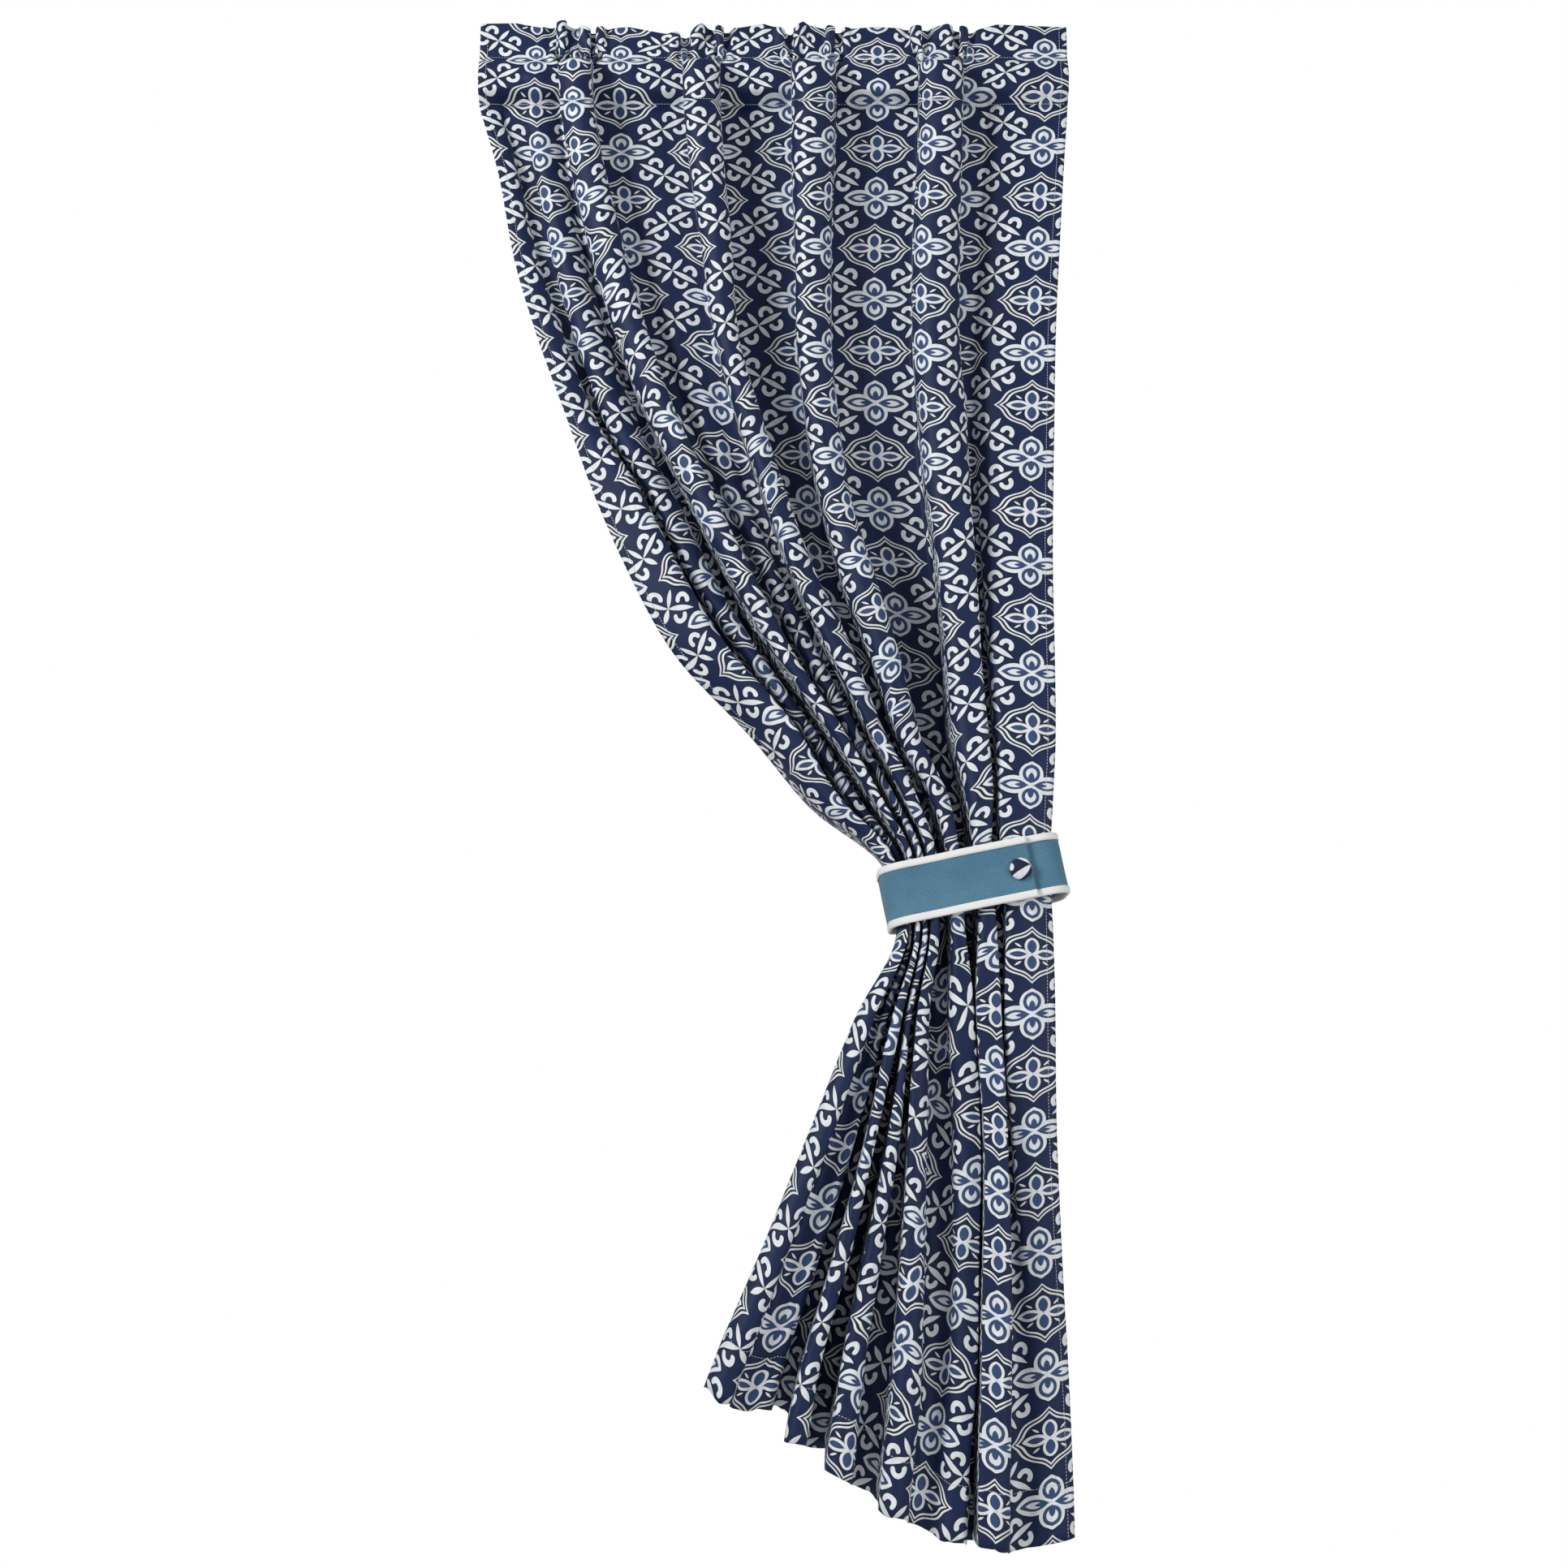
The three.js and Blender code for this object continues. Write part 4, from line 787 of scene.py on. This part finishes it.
# %% The covered button
BUTTON_DIAMETER = 30
BUTTON_DOME = 8
BUTTON_RIM = 2.0
BUTTON_TURN = 2.35
BUTTON_UNDER = 0.779
BUTTON_FROM_END = 0.6
BUTTON_LOW = -1.3
BUTTON_RINGS = 30
BUTTON_AROUND = 96
PRINT_ON_BUTTON = np.array([-0.1024, -0.0925])
DRAWN_ROUND = 1.3
radius = BUTTON_DIAMETER / 2
ring_share = np.linspace(0.02, 1, BUTTON_RINGS)[:, None]
angle = np.linspace(0, 2 * np.pi, BUTTON_AROUND, endpoint=False)
turn = ring_share * BUTTON_TURN
under = np.maximum((turn - math.pi / 2) / BUTTON_UNDER, 0)
profile_r = np.where(under > 0, mix(1, 0.8, under), np.sin(turn))
profile_h = BUTTON_RIM + (BUTTON_DOME - BUTTON_RIM) * np.cos(np.minimum(turn, math.pi / 2)) ** 0.8
profile_h = profile_h - BUTTON_RIM * np.minimum(under, 1)
folds = smooth((ring_share - 0.35) / 0.4) * (np.sin(9 * angle + 0.8) + 0.6 * np.sin(14 * angle + 2.1))
button_r = radius * profile_r * (1 + 0.008 * folds)
button_u = FREE_END - radius - BUTTON_FROM_END + button_r * np.cos(angle)
button_v = BUTTON_LOW + button_r * np.sin(angle)
button_y = -(BAND_HALF_DEPTH + BAND_LIFT + BAND_THICK / 2 + SEAM_GAP) - (profile_h + 0.22 * folds)
covered = np.stack([ring_share * np.cos(angle), ring_share * np.sin(angle)], axis=-1)
button = make_piece("covered_button", band_points(button_u, button_y, button_v),
                    PRINT_ON_BUTTON + covered * radius * DRAWN_ROUND * MM, "button")

# %% [markdown]
# The stitching is pale thread on dark cloth, so it shows as thin broken lines: two rows along the pocket,
# one along each side hem and one along the bottom hem. One stitch is a short pinched prism. The
# same prism is set along all the lines at once, by an array product.

# %% The stitching
STITCH = 3.0
STITCH_STEP = 4.4
THREAD = 0.42
ENDS = np.array([-1, -0.6, 0.6, 1]) * STITCH / 2
WIDTHS = np.array([0.4, 1, 1, 0.4]) * THREAD
RISES = np.array([0.0, 1, 1, 0.0]) * 0.3 + CLOTH / 2
CORNERS = np.array([[1, 0], [0, 1], [-1, 0], [0, -0.6]])


def stitch_row(points, normals):
    """Centres, ways and normals of stitches along a line of points, which is read at even steps."""
    run = np.concatenate([[0], np.cumsum(np.linalg.norm(np.diff(points, axis=0), axis=1))])
    at = np.arange(STITCH_STEP / 2, run[-1] - STITCH_STEP / 2, STITCH_STEP)

    def along(values, s):
        """Values of the line at the distances s."""
        return np.stack([np.interp(s, run, values[:, k]) for k in range(3)], axis=-1)

    way = along(points, at + 0.8) - along(points, at - 0.8)
    return along(points, at), way, along(normals, at)


def upright(points, normals, places, place):
    """Stitches down a cloth's grid at one distance from its left edge."""
    return stitch_row(*(np.array([[np.interp(place, q, p[:, k]) for k in range(3)]
                                  for q, p in zip(places, grid)]) for grid in (points, normals)))


def stitches(name, points, normals, places, level_rows):
    """One mesh of a cloth's stitches, along both side hems and along rows of its grid."""
    rows = [upright(points, normals, places, place) for place in (SIDE_HEM, FLAT_WIDTH - SIDE_HEM)]
    rows += [stitch_row(points[r], normals[r]) for r in level_rows]
    centre, way, up = (np.concatenate(parts) for parts in zip(*rows))
    way = way / np.linalg.norm(way, axis=1, keepdims=True)
    up = up - way * (up * way).sum(axis=1, keepdims=True)
    up = up / np.linalg.norm(up, axis=1, keepdims=True)
    centre, way, up, side = (v[:, None, None, :] for v in (centre, way, up, np.cross(way, up)))
    a, w, r = (v[:, None, None] for v in (ENDS, WIDTHS, RISES))
    prisms = centre + way * a + side * (w * CORNERS[:, :1]) + up * (r + w * CORNERS[:, 1:])
    one = np.array(grid_faces(len(ENDS), len(CORNERS), closed=True))
    first = np.arange(len(prisms)) * len(ENDS) * len(CORNERS)
    faces = (one + first[:, None, None]).reshape(-1, 4).tolist()
    return make_piece(name, prisms, np.zeros((prisms.size // 3, 2)), faces=faces)


hem_row = int(np.argmin(np.abs(panel_lengths - (FINISHED_LENGTH - BOTTOM_HEM))))
panel_stitching = stitches("hem_stitching", panel_points, normals_of(panel_points), panel_places, [hem_row])
front_places = np.broadcast_to(heading_places, front.shape[:2])
heading_stitching = stitches("heading_stitching", front, front_normals, front_places, [POCKET_ROWS - 1, 1])

# %% [markdown]
# Materials are node trees. One function adds any node, sets its settings and links or sets its inputs.
# Colours are written as sRGB hex values, as a colour picker gives them, and turned to linear light.

# %% Material helpers
def linear(hex_colour):
    """sRGB hex to linear RGBA."""
    values = [int(hex_colour[i:i + 2], 16) / 255 for i in (1, 3, 5)]
    return [v / 12.92 if v <= 0.04045 else ((v + 0.055) / 1.055) ** 2.4 for v in values] + [1.0]


def add_node(tree, kind, *inputs, **settings):
    """Adds a node of a kind, with its operation behind a space, and returns its first output in use.
    Settings are properties. Inputs are sockets to link, values to set, None to leave, or pairs of a
    socket's name or number and one of these."""
    kind, _, operation = kind.partition(" ")
    node = tree.nodes.new("ShaderNode" + kind)
    if operation:
        node.operation = operation
    for key, value in settings.items():
        setattr(node, key, value)
    for i, item in enumerate(inputs):
        name, value = item if isinstance(item, tuple) else (i, item)
        if isinstance(value, bpy.types.NodeSocket):
            tree.links.new(value, node.inputs[name])
        elif value is not None:
            node.inputs[name].default_value = value
    return next((o for o in node.outputs if o.enabled), None)


def empty_tree(owner):
    """Empties the node tree of a material or a world. Returns the function that adds a node to it."""
    owner.use_nodes = True
    owner.node_tree.nodes.clear()
    return partial(add_node, owner.node_tree)


print("navy in linear light:", [round(v, 3) for v in linear("#11244C")])

# %% [markdown]
# The print is a common traditional repeat: pointed medallions and four-petal flowers in turn, with crossed
# leaves and scrolls between them. It is drawn with signed distances: a formula gives how far a point is
# from a motif's outline, minus inside. A petal is where two circles overlap. The repeat is 240 by 158 mm
# and mirrors both ways, so folding the flat place with a zigzag leaves one quarter to draw.

# %% Shapes of the print
def disc(add, place, centre, radius):
    """Distance from a disc: the distance from its centre less its radius."""
    return add("Math SUBTRACT", add("VectorMath DISTANCE", place, [*centre, 0]), radius)


def petal(add, place, start, end, half_width, upright_petal=False):
    """Distance from a petal that runs from start to end along X, or along Y: its outline is an arc, whose
    radius follows from half the length and half the width."""
    half = (end - start) / 2
    arc = (half ** 2 + half_width ** 2) / (2 * half_width)
    centre = [(start + end) / 2, half_width - arc]
    return disc(add, place, centre[::-1] if upright_petal else centre, arc)


def folded(add, place, centre, angle):
    """The place in a frame that is moved to a centre, turned by an angle and folded over both its axes."""
    own = add("Mapping", place, [*centre, 0], [0, 0, math.radians(angle)], vector_type="TEXTURE")
    return add("VectorMath ABSOLUTE", own)


def scroll(add, place, centre, radius, first, last, half_width):
    """Distance from a stroke along an arc between two angles: inside the arc's angle it is that from the
    circle, elsewhere that from the nearer end, less half the stroke's width."""
    middle, opening = math.radians((first + last) / 2), math.radians(abs(first - last) / 2)
    cos, sin = math.cos(opening), math.sin(opening)
    own = add("Mapping", place, [*centre, 0], [0, 0, middle], vector_type="TEXTURE")
    away = add("VectorMath LENGTH", own)
    along = add("VectorMath DOT_PRODUCT", own, [1, 0, 0])
    inside = add("Math GREATER_THAN", along, add("Math MULTIPLY", away, cos))
    ends = [add("VectorMath DISTANCE", own, [radius * cos, s * radius * sin, 0]) for s in (-1, 1)]
    nearer = add("Math MINIMUM", *ends)
    ring = add("Math ABSOLUTE", add("Math SUBTRACT", away, radius))
    stroke = add("Math MULTIPLY_ADD", inside, add("Math SUBTRACT", ring, nearer), nearer)
    return add("Math SUBTRACT", stroke, half_width)


print("shapes of the print: petal, disc, scroll")

# %% [markdown]
# A flower and a medallion take turns along each row and each column, 120 by 79 mm apart, and a cross of
# leaves fills the space between four of them. Each motif has its own small frame, in millimetres from its
# middle, and is a list of shapes. White shapes lie on the ground, blue ones on the white, and so on.

# %% The print's motifs
ROW = 79
FIRST_ROW = 51
FIRST_COLUMN = COLUMN * EDGE_TO_COLUMN
CROSS_SLOPE = 0.577
OGEE_HALF_WIDTH = 54
OGEE_HALF_HEIGHT = 39
OGEE_REACH = 32


def print_places(add):
    """Folds the flat place, in millimetres, into the frames of a flower, a medallion, a leaf cross and half
    a cross, whose other half falls on it."""
    parts = add("SeparateXYZ", add("UVMap", uv_map="flat_cloth")).node.outputs
    x = add("Math MULTIPLY_ADD", parts[0], 1000, FIRST_COLUMN)
    y = add("Math MULTIPLY_ADD", parts[1], 1000, FIRST_ROW)
    x = add("Math PINGPONG", x, COLUMN)
    y = add("Math PINGPONG", y, ROW)
    upper = add("Math GREATER_THAN", y, ROW / 2)
    flower_x = add("Math ABSOLUTE", add("Math MULTIPLY_ADD", upper, -COLUMN, x))
    half_y = add("Math PINGPONG", y, ROW / 2)
    medallion_x = add("Math SUBTRACT", COLUMN, flower_x)
    cross_x = add("Math SUBTRACT", COLUMN / 2, x)
    cross_y = add("Math SUBTRACT", y, ROW / 2)
    side = add("Math SIGN", add("Math MULTIPLY_ADD", cross_x, CROSS_SLOPE, cross_y))
    cross = add("CombineXYZ", cross_x, cross_y)
    half_cross = add("VectorMath SCALE", cross, ("Scale", side))
    return add("CombineXYZ", flower_x, half_y), add("CombineXYZ", medallion_x, half_y), cross, half_cross


def medallion_frame(add, place):
    """Share of the way to the medallion's outline, an ogee: the sum of both coordinates in its half sizes is
    a lozenge, which a bell curve swells between its points and a parabola draws in beside them."""
    share = add("VectorMath MULTIPLY", place, [1 / OGEE_HALF_WIDTH, 1 / OGEE_HALF_HEIGHT, 0])
    total = add("VectorMath DOT_PRODUCT", share, [1, 1, 0])
    skew = add("Math DIVIDE", add("VectorMath DOT_PRODUCT", share, [1, -1, 0]), total)
    drawn_in = add("Math MULTIPLY_ADD", add("Math MULTIPLY", skew, skew), 0.1, 0.9)
    skew = add("Math MULTIPLY_ADD", skew, 2.0, -0.15)
    square = add("Math MULTIPLY", skew, skew)
    bell = add("Math EXPONENT", add("Math MULTIPLY", square, -1))
    return add("Math DIVIDE", total, add("Math MULTIPLY_ADD", bell, 0.26, drawn_in))


def ogee_band(add, ogee, inner, outer):
    """Distance from a band between two shares of the ogee, whose reach is about 32 mm."""
    away = add("Math ABSOLUTE", add("Math SUBTRACT", ogee, (inner + outer) / 2))
    return add("Math MULTIPLY_ADD", away, OGEE_REACH, -OGEE_REACH * (outer - inner) / 2)


def print_layers(add):
    """The print's layers from the lowest up, as distances in millimetres: a layer's distance is the least
    of those of its shapes."""
    flower, medallion, cross, half_cross = print_places(add)
    ogee = medallion_frame(add, medallion)
    white = [
        petal(add, flower, 0, 47.5, 12.6),
        disc(add, flower, (0, 14.6), 17),
        petal(add, flower, 2, 33.6, 11.6, True),
        ogee_band(add, ogee, 0.935, 1.0),
        ogee_band(add, ogee, 0.79, 0.862),
        petal(add, medallion, 1, 37.5, 7.3),
        petal(add, medallion, 0, 22.8, 10.2, True),
        petal(add, folded(add, medallion, (18.9, 12.1), 30), -5.4, 5.4, 1.4),
        petal(add, folded(add, cross, (0, 0), 149.5), 0, 40, 3.7),
        petal(add, folded(add, cross, (0, 0), 50.5), 0, 25.3, 3.4),
        scroll(add, half_cross, (-11.1, 18.8), 7.6, 162, -24, 3.2),
        scroll(add, half_cross, (25.2, -2.2), 7.2, 155, -34, 3.2),
    ]
    blue = [
        petal(add, flower, 4.6, 41.8, 6.9),
        disc(add, flower, (0, 16.2), 12),
        petal(add, flower, 8, 29, 8.4, True),
        petal(add, medallion, 7.8, 30.4, 3.5),
        petal(add, medallion, 1.8, 19.8, 6.2, True),
    ]
    inlay = [
        petal(add, flower, 11, 34.4, 4.2),
        disc(add, flower, (0, 16.2), 7.7),
        petal(add, flower, 9, 24.6, 5.6, True),
    ]
    eye = [petal(add, flower, 3, 23, 2.6), petal(add, flower, 3, 18, 4.2, True)]
    return [reduce(partial(add, "Math MINIMUM"), shapes) for shapes in (white, blue, inlay, eye)]


print("layers of the print: ground, off-white, blue, inlay, eye")

# %% [markdown]
# The cloth is cotton sateen: its weft lies on top in long floats, so it has a soft sheen, a little more
# along the thread. The dyed ground is navy. The print is off-white and mid-blue with thin dark edges where
# the colours meet. Behind, the dye shows through more weakly, so the reverse is paler and duller.

# %% Printed cotton sateen
INK_SOFT = 0.35


def grain(add, across, down, detail, roughness=0.5):
    """Noise on the flat cloth whose grains have a real size across and down, in metres."""
    place = add("Mapping", add("UVMap", uv_map="flat_cloth"), None, None, [1 / across, 1 / down, 1])
    return add("TexNoise", place, ("Scale", 1.0), ("Detail", detail), ("Roughness", roughness))


def cotton_surface(add, colour, weave, relief, roughness, *sheen):
    """Ends a cotton's tree: its weave stands up to 0.4 mm high, and its threads have little gloss."""
    bump = add("Bump", ("Strength", relief), ("Distance", 0.0004), ("Height", weave))
    shader = add("BsdfPrincipled", ("Base Color", colour), ("Roughness", roughness), ("Normal", bump),
                 ("Specular IOR Level", 0.3), *sheen)
    add("OutputMaterial", shader)


def sateen(name, ground, edge, white, blue, roughness, sheen):
    """The printed cloth from its four inks, each laid inside a layer that is grown by some millimetres."""
    material = bpy.data.materials.new(name)
    add = empty_tree(material)
    white_at, blue_at, inlay_at, eye_at = print_layers(add)
    colour = linear(ground)
    for over, distance, grow in ((edge, white_at, 1.3), (white, white_at, 0), (edge, blue_at, 0.2),
                                 (blue, blue_at, -0.5), (edge, inlay_at, 0.4), (white, inlay_at, 0),
                                 (blue, eye_at, 0)):
        share = add("MapRange", distance, INK_SOFT + grow, -INK_SOFT + grow, 0.0, 1.0)
        colour = add("Mix", share, (6, colour), (7, linear(over)), data_type="RGBA")
    # Thick and thin places of the threads, 7 mm wide and 55 mm long, in which the dye is a tenth stronger
    fade = add("MapRange", grain(add, 0.007, 0.055, 3.0), 0.3, 0.7, 0.9, 1.1)
    colour = add("VectorMath SCALE", colour, ("Scale", fade))
    # The threads are 0.3 mm apart, too fine to show, so the weave is drawn about five times as coarse
    weave = grain(add, 0.0022, 0.0014, 2.0)
    cotton_surface(add, colour, weave, 0.25, roughness, ("Sheen Weight", sheen), ("Sheen Roughness", 0.4))
    print(f"{name}: {len(material.node_tree.nodes)} nodes")
    return material


print_front = sateen("printed_cotton_sateen", "#11244C", "#060A18", "#EAEFF4", "#364E7A", 0.6, 0.04)
print_reverse = sateen("cotton_sateen_reverse", "#5A678E", "#4A5578", "#C2C4C6", "#7688AE", 0.8, 0.1)
for piece in (panel, heading):
    piece.data.materials.append(print_front)
    piece.data.materials.append(print_reverse)
button.data.materials.append(print_front)

# %% [markdown]
# The band is plain-weave cotton, matt, with a fine mottle because its threads took the dye unevenly. The
# bindings are off-white cotton tape, and the stitching is a slightly glossy off-white thread.

# %% Plain cottons
def plain_cotton(name, pale, deep, mottle, weave, roughness):
    """Two shades mixed by a fine mottle and clouds of 60 mm, with a weave coarse enough to show."""
    material = bpy.data.materials.new(name)
    add = empty_tree(material)
    fine = add("Math MULTIPLY", grain(add, mottle, mottle, 4.0, 0.7), 0.65)
    share = add("Math MULTIPLY_ADD", grain(add, 0.06, 0.06, 2.0), 0.35, fine)
    share = add("MapRange", share, 0.35, 0.65, 0.0, 1.0)
    colour = add("Mix", share, (6, linear(deep)), (7, linear(pale)), data_type="RGBA")
    cotton_surface(add, colour, grain(add, weave, weave, 1.0), 0.35, roughness, ("Sheen Weight", 0.15))
    print(f"{name}: {len(material.node_tree.nodes)} nodes")
    return material


band_cotton = plain_cotton("plain_weave_cotton_blue", "#628FA7", "#46738E", 0.0025, 0.0016, 0.85)
tape_cotton = plain_cotton("cotton_bias_tape", "#FCFCFA", "#F4F4F1", 0.003, 0.0015, 0.85)
thread_cotton = plain_cotton("sewing_thread", "#E6E6E4", "#D2D3D4", 0.002, 0.001, 0.6)
tie_band.data.materials.append(band_cotton)
for tape in bindings:
    tape.data.materials.append(tape_cotton)
for piece in (panel_stitching, heading_stitching):
    piece.data.materials.append(thread_cotton)

# %% [markdown]
# The three cloths are the panel below the pocket, the heading with its two layers opened out, and the
# band.

# %% The three cloths
print("declared cloths:", panel.name, heading.name, tie_band.name)

# %% [markdown]
# The stage is a plain pale floor under the curtain and a white surround. A large soft light from the front
# left gives each tube a lit and a shaded side, and a weaker one from the right opens the shadows.

# %% Stage and light
FLOOR = -2.26
FLOOR_SIDES = 96
floor_turn = np.linspace(0, 2 * np.pi, FLOOR_SIDES, endpoint=False)
floor_ring = np.stack([0.1 + np.cos(floor_turn), np.sin(floor_turn), 0 * floor_turn + FLOOR], axis=-1)
floor_mesh = bpy.data.meshes.new("floor")
floor_mesh.from_pydata(floor_ring.tolist(), [], [list(range(FLOOR_SIDES))])
floor = placed("floor", floor_mesh)
floor_material = bpy.data.materials.new("pale_floor")
add = empty_tree(floor_material)
add("OutputMaterial", add("BsdfPrincipled", ("Base Color", linear("#E9E8E6")), ("Roughness", 0.9)))
floor.data.materials.append(floor_material)


def area_light(name, place, target, size, power):
    """A square soft light at a place, turned to a target."""
    light = bpy.data.lights.new(name, "AREA")
    light.size = size
    light.energy = power
    lamp = placed(name, light)
    lamp.location = place
    way = np.array(target, float) - np.array(place, float)
    lamp.rotation_euler = (math.atan2(math.hypot(way[0], way[1]), -way[2]), 0, math.atan2(-way[0], way[1]))
    print(f"{name} light, {power} W")


area_light("key", (-2.9, -2.7, 0.3), (0, 0, -1.0), 1.3, 108)
area_light("fill", (2.9, -2.7, -0.9), (0.1, 0, -1.2), 2.2, 50)

world = bpy.data.worlds.new("white_surround")
add = empty_tree(world)
seen = add("LightPath").node.outputs["Is Camera Ray"]
strength = add("MapRange", seen, 0.0, 1.0, 0.29, 1.0)
add("OutputWorld", add("Background", [1, 1, 1, 1], strength))
bpy.context.scene.world = world

# %% [markdown]
# The photograph looks slightly up, from in front of the lower half of the curtain, with a normal lens.

# %% Camera
camera_data = bpy.data.cameras.new("camera")
camera_data.lens = 50
camera_data.sensor_width = 36
camera_data.sensor_height = 36
camera_data.sensor_fit = "HORIZONTAL"
camera = placed("camera", camera_data)
camera.location = (0.0155, -2.944, -1.631)
camera.rotation_euler = (math.radians(90 + 11.14), 0, 0)
bpy.context.scene.camera = camera
bpy.context.scene.view_settings.view_transform = "Standard"
print(f"camera {camera_data.lens:.0f} mm, {-camera.location.y:.2f} m in front of the rod")
